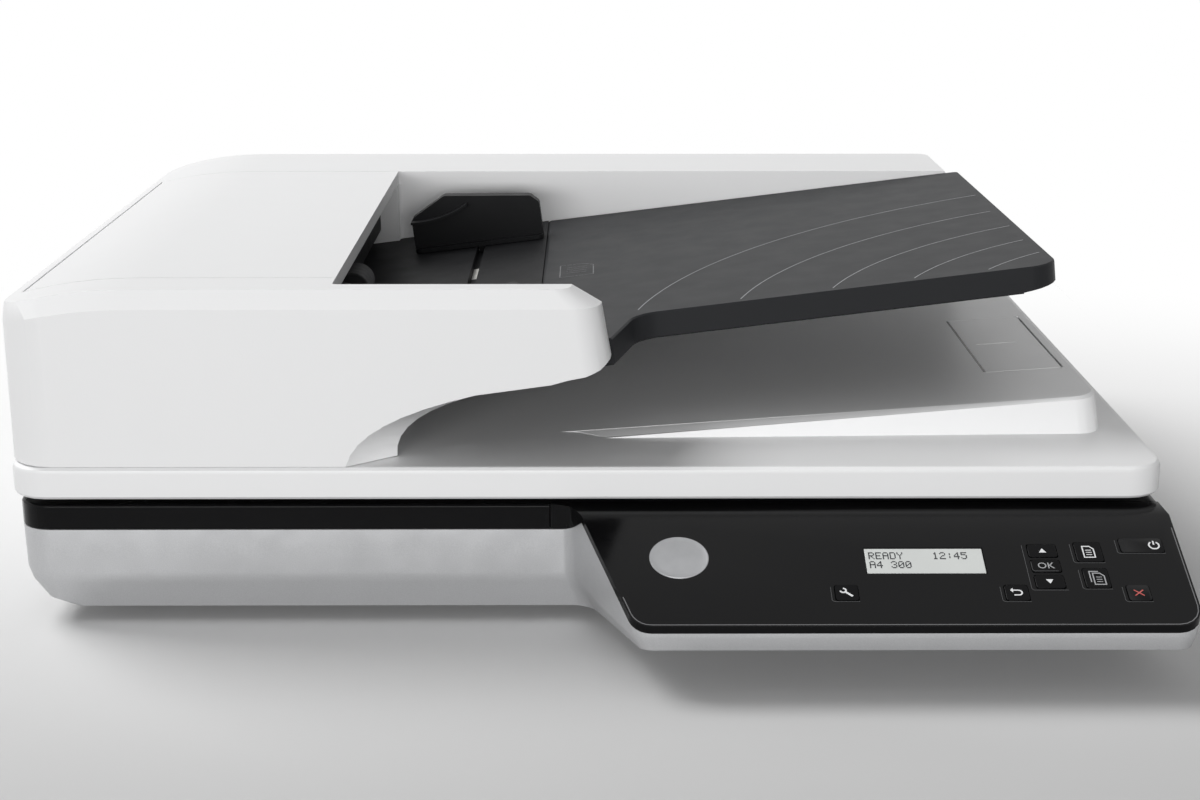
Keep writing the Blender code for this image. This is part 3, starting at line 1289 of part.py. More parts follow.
def build_feeder_body(lid):
    body = piece("feeder_body", feeder_solid(), lid, "white_shell")
    cut(body, tool("arm_scoop", arm_scoop(), lid))
    top = FEEDER_TOP + OVERRUN
    low = (FEEDER_LEFT_X + CAVITY_LEFT_WALL, CAVITY_FRONT_Y, FEEDER_LOW - OVERRUN)
    cavity = box(low, (RECESS_LEFT_X + OVERRUN, CAVITY_BACK_Y, top))
    cut(body, tool("feeder_cavity", cavity, lid))
    cut_cover_seat(body, lid)
    ceiling = FEEDER_TOP - CHAMBER_ROOF
    low = (FEEDER_LEFT_X + CAVITY_LEFT_WALL, LID_FRONT + WALL, FEEDER_LOW - OVERRUN)
    chamber = box(low, (ARM_FOOT_X - CHAMBER_ROOF, CAVITY_FRONT_Y - SEAT_WALL, ceiling))
    cut(body, tool("front_chamber", chamber, lid))
    low = (FEEDER_LEFT_X + CAVITY_LEFT_WALL, BAND_FRONT + WALL, FEEDER_LOW - OVERRUN)
    chamber = box(low, (BAND_END_X - CHAMBER_ROOF, LID_BACK - WALL * 2, ceiling))
    cut(body, tool("back_chamber", chamber, lid))
    half = OUTPUT_SLOT_WIDTH / 2
    low = (RECESS_LEFT_X - OVERRUN, PAPER_LINE_Y - half, FEEDER_LOW + OUTPUT_SLOT_LOW)
    high = (THROAT_X + OVERRUN, PAPER_LINE_Y + half, FEEDER_LOW + OUTPUT_SLOT_HIGH)
    cut(body, tool("output_slot", box(low, high), lid))
    shafts = (("feed", FEED_X, FEED_Z), ("turn", TURN_X, TURN_Z))
    for name, x, z in shafts:
        seat = rod(SHAFT_RADIUS + RUNNING, CAVITY_FRONT_Y - SHAFT_SEAT - GAP, CAVITY_BACK_Y + SHAFT_SEAT + GAP, "Y", 14)
        cut(body, tool(name + "_shaft_seats", seat, lid, (x, 0, z)))
    seat = rod(SHAFT_RADIUS + RUNNING, -half - SHAFT_SEAT - GAP, half + SHAFT_SEAT + GAP, "Y", 14)
    cut(body, tool("exit_shaft_seats", seat, lid, (EXIT_X, PAPER_LINE_Y, EXIT_Z)))
    reach = TRAY_PIN_LENGTH + GAP
    bore = rod(TRAY_PIN_RADIUS + RUNNING, ARM_BACK - reach, BAND_FRONT + reach, "Y", 14)
    cut(body, tool("tray_pin_bores", bore, lid, (TRAY_AXIS_X, 0, TRAY_AXIS_Z)))
    return body


def cut_cover_seat(body, lid):
    """The seat of the cover: its seam all round, its left pins and the drop for its right lip."""
    left = COVER_LEFT_X - COVER_SEAM
    right = RECESS_LEFT_X + OVERRUN
    front, back = COVER_FRONT_Y - COVER_SEAM, COVER_BACK_Y + COVER_SEAM
    bed = roof_line(left, right, -COVER_THICKNESS - GAP)
    outline = [*bed, (right, FEEDER_TOP + OVERRUN), (left, FEEDER_TOP + OVERRUN)]
    cut(body, tool("cover_seat", slab(outline, front, back, "XZ"), lid))
    low = (RECESS_LEFT_X - COVER_LIP_THICKNESS - COVER_SEAM, front, FEEDER_TOP - COVER_LIP_HEIGHT - GAP)
    cut(body, tool("cover_lip_seat", box(low, (right, back, FEEDER_TOP + OVERRUN)), lid))
    reach = COVER_PIN_LENGTH + GAP
    bore = rod(COVER_PIN_RADIUS + GAP, front - reach, back + reach, "Y", 12)
    cut(body, tool("cover_pin_bores", bore, lid, (COVER_AXIS_X, 0, COVER_AXIS_Z)))


def build_cover(lid):
    """The cover over the rollers: a thin roof with a lip at its right and a barrel at its left."""
    axis = Frame("cover_axis", (COVER_AXIS_X, (COVER_FRONT_Y + COVER_BACK_Y) / 2, COVER_AXIS_Z), lid)
    barrel = arc((COVER_AXIS_X, COVER_AXIS_Z), COVER_THICKNESS / 2, 110, 270, 6)
    right = RECESS_LEFT_X
    inner = right - COVER_LIP_THICKNESS
    top = roof_line(COVER_AXIS_X, right, 0)[1:]
    under = roof_line(COVER_AXIS_X, inner, -COVER_THICKNESS)[1:]
    lip = FEEDER_TOP - COVER_LIP_HEIGHT
    outline = [*barrel, *under, (inner, lip), (right, lip), *reversed(top)]
    cover = piece("feeder_cover", slab(outline, COVER_FRONT_Y, COVER_BACK_Y, "XZ"), axis, "white_shell")
    pins = rod(COVER_PIN_RADIUS, COVER_FRONT_Y - COVER_PIN_LENGTH, COVER_BACK_Y + COVER_PIN_LENGTH, "Y", 12)
    join(cover, tool("cover_pins", pins, axis, (COVER_AXIS_X, 0, COVER_AXIS_Z)))


def tyred_shaft(shaft, half_length, tyre, tyres):
    """Profile of a shaft along Y with tyres (middle, width), from its front end to its back end."""
    profile = [(0, -half_length), (shaft, -half_length)]
    for middle, width in tyres:
        for y, radius in (
            (middle - width / 2, shaft),
            (middle - width / 2, tyre - TYRE_CHAMFER),
            (middle - width / 2 + TYRE_CHAMFER, tyre),
            (middle + width / 2 - TYRE_CHAMFER, tyre),
            (middle + width / 2, tyre - TYRE_CHAMFER),
            (middle + width / 2, shaft),
        ):
            profile.append((radius, y))
    return [*profile, (shaft, half_length), (0, half_length)]


def build_rollers(lid):
    centre = (CAVITY_FRONT_Y + CAVITY_BACK_Y) / 2
    half = (CAVITY_BACK_Y - CAVITY_FRONT_Y) / 2 + SHAFT_SEAT
    middle = PAPER_LINE_Y - centre
    rollers = (
        ("feed_roller", FEED_X, centre, FEED_Z, half, FEED_RADIUS, [(middle, FEED_TYRE)]),
        ("turn_roller", TURN_X, centre, TURN_Z, half, TURN_RADIUS, spread(middle, TURN_SPACING, TURN_TYRE)),
        (
            "exit_roller",
            EXIT_X,
            PAPER_LINE_Y,
            EXIT_Z,
            OUTPUT_SLOT_WIDTH / 2 + SHAFT_SEAT,
            EXIT_RADIUS,
            spread(0, EXIT_SPACING, EXIT_TYRE),
        ),
    )
    for name, x, y, z, length, radius, tyres in rollers:
        axis = Frame(name + "_axis", (x, y, z), lid)
        piece(name, turned(tyred_shaft(SHAFT_RADIUS, length, radius, tyres)), axis, "rubber", (x, y, z))
    build_pick_arm(lid)


def spread(middle, spacing, width):
    return [(middle - spacing / 2, width), (middle + spacing / 2, width)]


def build_pick_arm(lid):
    """A bracket that swings on the feed shaft and carries the pick roller on the paper stack."""
    at = (FEED_X, PAPER_LINE_Y, FEED_Z)
    arm_axis = Frame("pick_arm_axis", at, lid)
    cheek_in = FEED_TYRE / 2 + GAP * 2
    cheek_out = cheek_in + PICK_CHEEK
    reach = Vector((PICK_X - FEED_X, PICK_Z - FEED_Z))
    tilt = math.degrees(math.atan2(reach.y, reach.x))
    big, small = SHAFT_RADIUS * 2, SHAFT_RADIUS + PICK_CHEEK / 2
    outline = arc((0, 0), big, tilt + 90, tilt + 270, 8) + arc(tuple(reach), small, tilt - 90, tilt + 90, 8)
    arm = piece("pick_arm", slab(outline, -cheek_out, cheek_out, "XZ"), arm_axis, "matt_black", at)
    low = (-FEED_RADIUS * 2, -cheek_in, -FEED_RADIUS * 2)
    inside = box(low, (FEED_RADIUS * 4, cheek_in, FEED_RADIUS * 2))
    cut(arm, tool("pick_arm_inside", inside, arm_axis, at))
    mid = reach * BRIDGE_SHARE
    low = (mid.x - PICK_CHEEK, -cheek_out, mid.y + small)
    bridge = box(low, (mid.x + PICK_CHEEK, cheek_out, mid.y + small + PICK_CHEEK))
    ear = box((mid.x - PICK_CHEEK, cheek_in, mid.y), (mid.x + PICK_CHEEK, cheek_out, mid.y + small + PICK_CHEEK / 2))
    other = box((mid.x - PICK_CHEEK, -cheek_out, mid.y), (mid.x + PICK_CHEEK, -cheek_in, mid.y + small + PICK_CHEEK / 2))
    join(arm, tool("pick_arm_bridge", bridge, arm_axis, at))
    join(arm, tool("pick_arm_ear_back", ear, arm_axis, at), tool("pick_arm_ear_front", other, arm_axis, at))
    bore = rod(SHAFT_RADIUS + RUNNING, -cheek_out - OVERRUN, cheek_out + OVERRUN, "Y", 14)
    cut(arm, tool("pick_arm_bore", bore, arm_axis, at))
    pick_at = (PICK_X, PAPER_LINE_Y, PICK_Z)
    bore = rod(PICK_SHAFT_RADIUS + RUNNING, -cheek_out - OVERRUN, cheek_out + OVERRUN, "Y", 12)
    cut(arm, tool("pick_roller_bore", bore, arm_axis, pick_at))
    axis = Frame("pick_roller_axis", pick_at, arm_axis)
    profile = tyred_shaft(PICK_SHAFT_RADIUS, cheek_out, PICK_RADIUS, [(0, PICK_TYRE)])
    piece("pick_roller", turned(profile), axis, "rubber", pick_at)


def build_paper_path(lid):
    """The chassis between the upper and the lower paper path, and what it carries."""
    front, back = CAVITY_FRONT_Y + GAP, CAVITY_BACK_Y - GAP
    low, high = LID_TOP + PATH_FLOOR, LID_TOP + PATH_TOP
    nose = (high - low) / 2
    outline = [
        (PATH_RIGHT_X, low),
        (PATH_RIGHT_X, high),
        *arc((PATH_LEFT_X + nose, low + nose), nose, 90, 270, 8),
    ]
    piece("path_chassis", slab(outline, front, back, "XZ"), lid, "matt_black")
    half = SEPARATOR_WIDTH / 2
    start = (FEED_X - SEPARATOR_LENGTH / 2, PAPER_LINE_Y - half, high + GAP)
    end = (FEED_X + SEPARATOR_LENGTH / 2, PAPER_LINE_Y + half, FEED_Z - FEED_RADIUS - GAP)
    piece("separator_pad", box(start, end), lid, "rubber")
    half = PRESSER_WIDTH / 2
    start = (SENSOR_X - SENSOR_LENGTH / 2, PAPER_LINE_Y - half, low - GAP - SENSOR_HEIGHT)
    end = (SENSOR_X + SENSOR_LENGTH / 2, PAPER_LINE_Y + half, low - GAP)
    piece("back_side_sensor", box(start, end), lid, "matt_black")
    motor = rod(ADF_MOTOR_RADIUS, 0, ADF_MOTOR_LENGTH, "Y")
    at = (ADF_MOTOR_X, BAND_FRONT + WALL + GAP, FEEDER_LOW + ADF_MOTOR_HEIGHT)
    piece("feeder_motor", motor, lid, "steel", at)


def build_inner_tray(slope):
    """The fixed part of the input tray, from the throat to the hinge of the outer part."""
    turn = math.cos(TRAY_SLOPE)
    wide_left = (RECESS_LEFT_X + INNER_GAP - TRAY_AXIS_X) / turn
    narrow_left = -INNER_REACH
    clear = INNER_SIDE_CLEAR
    front, back = ARM_BACK + clear, BAND_FRONT - clear
    mouth_front, mouth_back = CAVITY_FRONT_Y + clear, CAVITY_BACK_Y - clear
    corner = INNER_CORNER + clear
    outline = rounded(
        [
            (wide_left, front, corner),
            (-GAP, front, 0),
            (-GAP, back, 0),
            (wide_left, back, corner),
            (wide_left, mouth_back, 0),
            (narrow_left, mouth_back, 0),
            (narrow_left, mouth_front, 0),
            (wide_left, mouth_front, 0),
        ]
    )
    tray = piece("inner_tray", slab(outline, TRAY_BARREL - INNER_PLATE, TRAY_BARREL), slope, "matt_black")
    for name, low_y, high_y in (
        ("front", front, front + SKIRT_THICKNESS),
        ("back", back - SKIRT_THICKNESS, back),
    ):
        low = (THROAT_SKIRT_X, low_y, TRAY_BARREL - SKIRT_DEPTH)
        skirt = box(low, (-TRAY_BARREL * 2, high_y, TRAY_BARREL - INNER_PLATE / 2))
        join(tray, tool(f"inner_skirt_{name}", skirt, slope))
    relief = rod(TRAY_BARREL + INNER_GAP, front - OVERRUN, back + OVERRUN, "Y")
    cut(tray, tool("inner_barrel_relief", relief, slope))
    half = GUIDE_SLOT_WIDTH / 2
    far = GUIDE_WIDEST + GUIDE_PLATE / 2 + STEM_LENGTH / 2 + RUNNING
    near = GUIDE_SLOT_PAST
    for name, x, start, end in (
        ("back", GUIDE_SLOT_X, PAPER_LINE_Y - near, PAPER_LINE_Y + far),
        ("front", FRONT_SLOT_X, PAPER_LINE_Y - far, PAPER_LINE_Y + near),
    ):
        slot = box((x - half, start, -OVERRUN), (x + half, end, TRAY_BARREL + OVERRUN))
        cut(tray, tool(f"guide_slot_{name}", slot, slope))
    pin_top = TRAY_BARREL - INNER_PLATE / 2
    pin = rod(PINION_PIN_RADIUS, PINION_LOW - GAP, pin_top, "Z", 12)
    join(tray, tool("pinion_pin", pin, slope, (PINION_X, PAPER_LINE_Y, 0)))


def guide_side(side):
    """A side guide's outline seen from the front. The one at the front stays low at its nose."""
    bottom = TRAY_BARREL + GAP
    left, right = -GUIDE_RIGHT - GUIDE_LENGTH, -GUIDE_RIGHT
    nose, run, top = GUIDE_NOSE_HEIGHT, GUIDE_NOSE_RUN, GUIDE_HEIGHT
    if side < 0:
        nose, run, top = LOW_GUIDE_NOSE_HEIGHT, LOW_GUIDE_NOSE_RUN, LOW_GUIDE_HEIGHT
    return rounded(
        [
            (left, bottom, 0),
            (right, bottom, 0),
            (right, bottom + GUIDE_TAIL_HEIGHT - GUIDE_TAIL_DROP, GUIDE_ROUND),
            (right - GUIDE_TAIL_RUN, bottom + GUIDE_TAIL_HEIGHT, GUIDE_ROUND),
            (left + run, bottom + top, GUIDE_ROUND),
            (left, bottom + nose, GUIDE_ROUND),
        ],
        3,
    )


def guide_fin():
    """A curled strip that keeps the paper's edge down, from the guide's nose up to the right."""
    bottom = TRAY_BARREL + GAP
    left = -GUIDE_RIGHT - GUIDE_LENGTH
    start = (left, bottom + FIN_START_HEIGHT)
    middle = (left + FIN_MIDDLE_RUN, bottom + FIN_MIDDLE_HEIGHT)
    end = (left + FIN_LENGTH, bottom + FIN_END_HEIGHT)
    lower = bow(start, middle, end, 6)
    upper = [(x, z + FIN_THICKNESS) for x, z in reversed(lower)]
    return slab(lower + upper, -FIN_DEPTH, GUIDE_HOLLOW / 2, "XZ")


def build_guide(name, slope, side, slot_x):
    """One side guide: a plate, a foot under the paper's edge, and a rack under the tray."""
    inner = PAPER_LINE_Y + side * GUIDE_REST
    axis = Frame(name + "_axis", (slot_x, inner, TRAY_BARREL), slope, (0, 0, 0))
    at = (-slot_x, 0, -TRAY_BARREL)
    outer = side * GUIDE_PLATE
    plate = slab(guide_side(side), min(0, outer), max(0, outer), "XZ")
    guide = piece(name, plate, axis, "matt_black", at)
    if side > 0:
        join(guide, tool(name + "_fin", guide_fin(), axis, at))
    hollow_low = min(side * GUIDE_HOLLOW, outer + side * OVERRUN)
    hollow_high = max(side * GUIDE_HOLLOW, outer + side * OVERRUN)
    left = -GUIDE_RIGHT - GUIDE_LENGTH
    rise = GUIDE_TAIL_HEIGHT if side > 0 else LOW_GUIDE_HEIGHT
    run = GUIDE_NOSE_RUN if side > 0 else LOW_GUIDE_NOSE_RUN
    low = (left + run, hollow_low, TRAY_BARREL + GUIDE_FOOT_THICKNESS + GUIDE_HOLLOW)
    high = (-GUIDE_RIGHT - GUIDE_TAIL_RUN - GUIDE_HOLLOW, hollow_high, TRAY_BARREL + rise - GUIDE_HOLLOW)
    cut(guide, tool(name + "_hollow", box(low, high), axis, at))
    bottom = TRAY_BARREL + GAP
    toe = -side * GUIDE_FOOT_WIDTH
    foot = [
        (left, toe, GUIDE_FOOT_CORNER),
        (-GUIDE_RIGHT, toe, GUIDE_FOOT_CORNER),
        (-GUIDE_RIGHT, outer, 0),
        (left, outer, 0),
    ]
    base = slab(rounded(foot, SMALL_ARC_STEPS), bottom, bottom + GUIDE_FOOT_THICKNESS)
    join(guide, tool(name + "_foot", base, axis, at))
    middle = outer / 2
    half = GUIDE_SLOT_WIDTH / 2 - RUNNING
    start = middle - STEM_LENGTH / 2
    stem = box((slot_x - half, start, RACK_TOP - RACK_THICKNESS), (slot_x + half, start + STEM_LENGTH, bottom + GUIDE_FOOT_THICKNESS / 2))
    join(guide, tool(name + "_stem", stem, axis, at))
    join(guide, tool(name + "_rack", rack(side, slot_x, middle), axis, at))


def rack(side, slot_x, start):
    """A toothed bar under the tray, from a guide's stem past the pinion. Its teeth begin where
    the pinion reaches them, and at rest a space between two of them faces the pinion."""
    toward = -1 if slot_x > PINION_X else 1
    pitch_line = PINION_X - toward * PINION_RADIUS
    face = pitch_line - toward * GEAR_ROOT
    tip = pitch_line + toward * GEAR_MODULE
    root_half = TOOTH_HALF + GEAR_ROOT * math.tan(GEAR_PRESSURE)
    tip_half = TOOTH_HALF - GEAR_MODULE * math.tan(GEAR_PRESSURE)
    before = math.floor((GUIDE_REST - RACK_BLANK) / GEAR_PITCH)
    after = math.floor(RACK_PAST / GEAR_PITCH)
    back = face - toward * RACK_WIDTH
    end = -side * (GUIDE_REST + RACK_PAST)
    outline = [(back, start), (face, start)]
    for count in range(-before, after):
        middle = -side * (GUIDE_REST + GEAR_PITCH * (count + 1 / 2))
        for x, away in ((face, -root_half), (tip, -tip_half), (tip, tip_half), (face, root_half)):
            outline.append((x, middle - side * away))
    outline += [(face, end), (back, end)]
    return slab(outline, RACK_TOP - RACK_THICKNESS, RACK_TOP)


def involute(angle):
    return math.tan(angle) - angle


def pinion_outline():
    """Involute teeth about the origin, one of which points along X."""
    base = PINION_RADIUS * math.cos(GEAR_PRESSURE)
    tip = PINION_RADIUS + GEAR_MODULE
    widest = TOOTH_HALF / PINION_RADIUS + involute(GEAR_PRESSURE)
    flank = [(PINION_RADIUS - GEAR_ROOT, widest)]
    for step in range(FLANK_STEPS + 1):
        radius = base + (tip - base) * step / FLANK_STEPS
        flank.append((radius, widest - involute(math.acos(base / radius))))
    tooth = [(radius, -half) for radius, half in flank]
    tooth += [(radius, half) for radius, half in reversed(flank)]
    outline = []
    for count in range(PINION_TEETH):
        middle = 2 * math.pi * count / PINION_TEETH
        for radius, angle in tooth:
            turn = middle + angle
            outline.append((radius * math.cos(turn), radius * math.sin(turn)))
    return outline


def build_pinion(slope):
    axis = Frame("guide_pinion_axis", (PINION_X, PAPER_LINE_Y, 0), slope, (0, 0, 0))
    pinion = piece("guide_pinion", slab(pinion_outline(), PINION_LOW, RACK_TOP), axis, "gear_white")
    bore = rod(PINION_PIN_RADIUS + RUNNING, PINION_LOW - OVERRUN, RACK_TOP + OVERRUN, "Z", 12)
    cut(pinion, tool("pinion_bore", bore, axis))


def tray_outline(inset):
    """The outer tray seen from above, with the ear that reaches forward to the arm."""
    ear = ARM_BACK + TRAY_EAR_CLEAR
    front = TRAY_FRONT_Y + inset
    back = BAND_FRONT - TRAY_SIDE_CLEAR - inset
    right = TRAY_LENGTH - inset
    return rounded(
        [
            (0, ear + inset, 0),
            (TRAY_EAR_LENGTH - inset, ear + inset, LEAST_ROUND),
            (TRAY_EAR_LENGTH + TRAY_EAR_FLARE - inset, front, TRAY_CORNER + inset),
            (right, front, TRAY_CORNER - inset),
            (right, back, TRAY_WALL),
            (0, back, 0),
        ]
    )


def build_input_tray(lid):
    """The outer tray: a ribbed shell on a barrel, which tilts up about the pins at its left."""
    at = (TRAY_AXIS_X, 0, TRAY_AXIS_Z)
    axis = Frame("input_tray_axis", at, lid, (0, -TRAY_SLOPE, 0))
    low = TRAY_BARREL - TRAY_RIM
    rings = [
        at_height(tray_outline(TRAY_EDGE), low),
        at_height(tray_outline(0), low + TRAY_EDGE),
        at_height(tray_outline(0), TRAY_BARREL - TRAY_EDGE),
        at_height(tray_outline(TRAY_EDGE), TRAY_BARREL),
    ]
    tray = piece("input_tray", loft(rings), axis, "tray_grey")
    under = TRAY_BARREL - TRAY_PLATE
    inner = [(max(x, TRAY_WALL), y) for x, y in tray_outline(TRAY_WALL)]
    cut(tray, tool("tray_hollow", slab(inner, low - OVERRUN, under), axis))
    tip = TRAY_LENGTH - TRAY_TIP_LENGTH
    tip_low = TRAY_BARREL - TRAY_TIP_RIM
    wedge = [(tip, low - OVERRUN), (TRAY_LENGTH + OVERRUN, low - OVERRUN), (TRAY_LENGTH + OVERRUN, tip_low), (tip, low + TRAY_EDGE)]
    cut(tray, tool("tray_tip", slab(wedge, -OVERALL_DEPTH / 2, OVERALL_DEPTH / 2, "XZ"), axis))
    ear, back = ARM_BACK + TRAY_EAR_CLEAR, BAND_FRONT - TRAY_SIDE_CLEAR
    corner = [(-OVERRUN, low - OVERRUN), (TRAY_WALL, low - OVERRUN), (TRAY_WALL, -TRAY_BARREL), (0, -TRAY_BARREL), (-OVERRUN, -TRAY_BARREL)]
    cut(tray, tool("tray_left_edge", slab(corner, ear - OVERRUN, back + OVERRUN, "XZ"), axis))
    join(tray, tool("tray_barrel", rod(TRAY_BARREL, ear, back, "Y"), axis))
    pins = rod(TRAY_PIN_RADIUS, ARM_BACK - TRAY_PIN_LENGTH, BAND_FRONT + TRAY_PIN_LENGTH, "Y", 14)
    join(tray, tool("tray_pins", pins, axis))
    build_extension(tray, axis, under)


def build_extension(tray, axis, under):
    """A flat extension in rails under the tray, pulled out to the right."""
    half = EXTENSION_WIDTH / 2
    top = under - GAP
    bottom = top - EXTENSION_THICKNESS
    clear = EXTENSION_SLOT_CLEAR
    slot = box(
        (TRAY_LENGTH - TRAY_WALL * 2, PAPER_LINE_Y - half - clear, bottom - clear),
        (TRAY_LENGTH + OVERRUN, PAPER_LINE_Y + half + clear, under + GAP),
    )
    cut(tray, tool("extension_slot", slot, axis))
    start = TRAY_LENGTH - EXTENSION_LENGTH
    for side in (-1, 1):
        web = sorted((side * (half + clear), side * (half + clear + TRAY_WALL)))
        shelf = sorted((side * (half + clear + TRAY_WALL), side * (half - RAIL_WIDTH)))
        shelf_top = bottom - clear
        web_box = box(
            (start, PAPER_LINE_Y + web[0], shelf_top - RAIL_THICKNESS),
            (TRAY_LENGTH - TRAY_WALL * 3, PAPER_LINE_Y + web[1], under + GAP),
        )
        shelf_box = box(
            (start, PAPER_LINE_Y + shelf[0], shelf_top - RAIL_THICKNESS),
            (TRAY_LENGTH - TRAY_WALL * 3, PAPER_LINE_Y + shelf[1], shelf_top),
        )
        join(tray, tool(f"extension_web_{side}", web_box, axis), tool(f"extension_shelf_{side}", shelf_box, axis))
    slide = Frame("tray_extension_axis", (start, PAPER_LINE_Y, top), axis, (0, 0, 0))
    blade = slab(oblong(0, EXTENSION_LENGTH, -half, half, EXTENSION_THICKNESS * 2, 3), -EXTENSION_THICKNESS, 0)
    piece("tray_extension", blade, slide, "tray_grey")


def main():
    root = Frame("scanner")
    build_lower_housing(root)
    build_bezel(root)
    build_panel(root)
    build_feet(root)
    build_electronics(root)
    build_scan_drive(root)
    lid = Frame("lid_axis", (0, HINGE_Y, HINGE_Z), root)
    for side in (-1, 1):
        build_hinge(side, root, lid)
    build_lid(lid)
    build_feeder_body(lid)
    build_cover(lid)
    build_rollers(lid)
    build_paper_path(lid)
    slope = Frame("tray_slope", (TRAY_AXIS_X, 0, TRAY_AXIS_Z), lid, (0, -TRAY_SLOPE, 0))
    build_inner_tray(slope)
    build_guide("guide_back", slope, 1, GUIDE_SLOT_X)
    build_guide("guide_front", slope, -1, FRONT_SLOT_X)
    build_pinion(slope)
    build_input_tray(lid)


clear_scene()
PIECES = collection("flatbed_scanner")
TOOLS = collection("cutters")
main()
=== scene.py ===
"""Flatbed scanner with a sheet feeder: finishes, printed symbols and fine parts.

Metres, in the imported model's frame: +Z up, +X to the right, +Y towards the back.
Angles that are plain numbers are in degrees.
"""

import json
import math

import bmesh
import bpy
from mathutils import Matrix, Vector


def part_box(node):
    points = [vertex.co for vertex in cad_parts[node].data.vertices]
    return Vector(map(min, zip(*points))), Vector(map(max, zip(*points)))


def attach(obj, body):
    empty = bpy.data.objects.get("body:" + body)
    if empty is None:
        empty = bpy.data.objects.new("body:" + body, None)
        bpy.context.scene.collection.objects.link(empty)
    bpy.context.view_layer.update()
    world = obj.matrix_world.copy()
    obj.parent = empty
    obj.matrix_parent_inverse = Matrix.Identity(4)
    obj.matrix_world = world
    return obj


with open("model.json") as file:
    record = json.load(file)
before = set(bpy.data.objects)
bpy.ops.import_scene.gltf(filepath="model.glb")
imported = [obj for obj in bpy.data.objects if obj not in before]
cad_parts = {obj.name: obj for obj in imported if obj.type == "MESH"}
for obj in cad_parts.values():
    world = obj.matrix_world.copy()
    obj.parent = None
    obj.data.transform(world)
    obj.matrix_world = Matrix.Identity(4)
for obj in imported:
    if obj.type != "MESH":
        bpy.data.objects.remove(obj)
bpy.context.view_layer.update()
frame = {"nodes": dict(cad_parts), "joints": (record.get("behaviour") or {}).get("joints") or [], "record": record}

NODES = frame["nodes"]
JOINTS = {row["name"]: row for row in frame["joints"]}

# Camera, found from the photograph's straight edges
CAMERA_PLACE = (0.0023, -0.9013, 0.3159)
CAMERA_PITCH = math.radians(16.02)
CAMERA_YAW = math.radians(0.224)
CAMERA_LENS = 58.07
CAMERA_SENSOR = 36.0
CAMERA_NEAREST = 0.01

# Floor: its shade at the front, further back and to bounced light, and where it melts into white
FLOOR_RADIUS = 24.0
FLOOR_SIDES = 96
FLOOR_ROUGHNESS = 0.9
FLOOR_SPECULAR = 0.1
FLOOR_NEAR = 0.58
FLOOR_FAR = 0.95
FLOOR_BOUNCE = 0.16
FLOOR_FADE_FROM = -0.42
FLOOR_FADE_TO = 0.10
HAZE_CENTRE = (0, -0.25, 0)
HAZE_FROM = 0.30
HAZE_TO = 0.86

# World: its light on the object, and the white that shows behind it
SKY_LIGHT = 0.26
BACKDROP = 1.0

# Lamps: name, place, what it points at, width and depth, and watts
LAMPS = (
    ("key_light", (-1.7, 0.70, 2.3), (0, 0, 0.05), (1.5, 1.5), 60.0),
    ("front_light", (-0.35, -2.6, 0.40), (0, 0, 0.08), (2.2, 0.5), 47.0),
)

# Procedural materials: the usual range of a noise, the sockets of a Mix node for colours, which
# share their names with others, and values that more than one line or material uses
NOISE_LOW = 0.3
NOISE_HIGH = 0.7
MIX_FACTOR = 0
MIX_LOW = 6
MIX_HIGH = 7
MIX_RESULT = 2
GRAIN_SCALE = 1900.0
PIT_SCALE = 1045.0
GRAIN_DEPTH = 0.00003
RUBBED_SHARE = 0.3
RUBBER_ROUGHNESS = 0.78
DISPLAY_TINT = 0.04
DISPLAY_GRID_SHARE = 0.95

# Look of each material slot
SLOT_LOOKS = {
    "white_shell": "white",
    "silver_shell": "silver",
    "gloss_black": "gloss",
    "matt_black": "matt",
    "tray_grey": "grey",
    "glass": "glass",
    "display": "display",
    "key_black": "key",
    "rubber": "rubber",
    "steel": "steel",
    "gear_white": "acetal",
    "foam_white": "foam",
    "board_green": "board",
}

# Rounded edges of the CAD nodes, and how flat two faces must lie to be one before that
EDGE_WIDTH = 0.0003
EDGE_WIDTHS = {
    "feeder_body": 0.0007,
    "feeder_cover": 0.0004,
    "lid_shell": 0.0004,
    "paper_stop": 0.0003,
    "input_tray": 0.0006,
    "inner_tray": 0.0004,
    "guide_back": 0.0006,
    "guide_front": 0.0006,
    "lower_housing": 0.0005,
    "top_bezel": 0.0004,
    "control_panel": 0.0004,
}
EDGE_SEGMENTS = 2
EDGE_ANGLE = math.radians(28)
FLATNESS = math.radians(0.4)
FLATNESS_OF = {"lid_shell": math.radians(0.02)}
WELD_DISTANCE = 0.000002

# Meshes made here. UPRIGHT turns an outline's Y upwards and its Z to the front
SHARP_ANGLE = math.radians(35)
MERGE_DISTANCE = 0.000001
MITRE_LIMIT = 0.4
ARC_STEPS = 10
UPRIGHT = Matrix(((1, 0, 0, 0), (0, 0, -1, 0), (0, 1, 0, 0), (0, 0, 0, 1)))

# Print: how far it stands out of a face, also where strokes cross, and reaches into it
INK = 0.00006
INK_OVER = 0.000072
INK_CROSSED = 0.000066
INK_SUNK = 0.00003

# Control panel: a slope that starts at its bend
PANEL_SLOPE = math.radians(23.2)
PANEL_BEND = Vector((0.0, -0.1608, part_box("control_panel")[1].z))

# Badge: its place on the slope, and its rim as shares of its radius and rise
BADGE_X = 0.0363
BADGE_DOWN = 0.0248
BADGE_RADIUS = 0.01175
BADGE_RISE = 0.0007
BADGE_RIM_SHARES = ((0, -1), (1, -1), (1, 0.35), (0.985, 0.6), (0.95, 0.62), (0.93, 0.5))
BADGE_DOME_SHARE = 0.92
BADGE_DROP_SHARE = 0.5
BADGE_DOME_STEPS = 6
BADGE_SIDES = 72

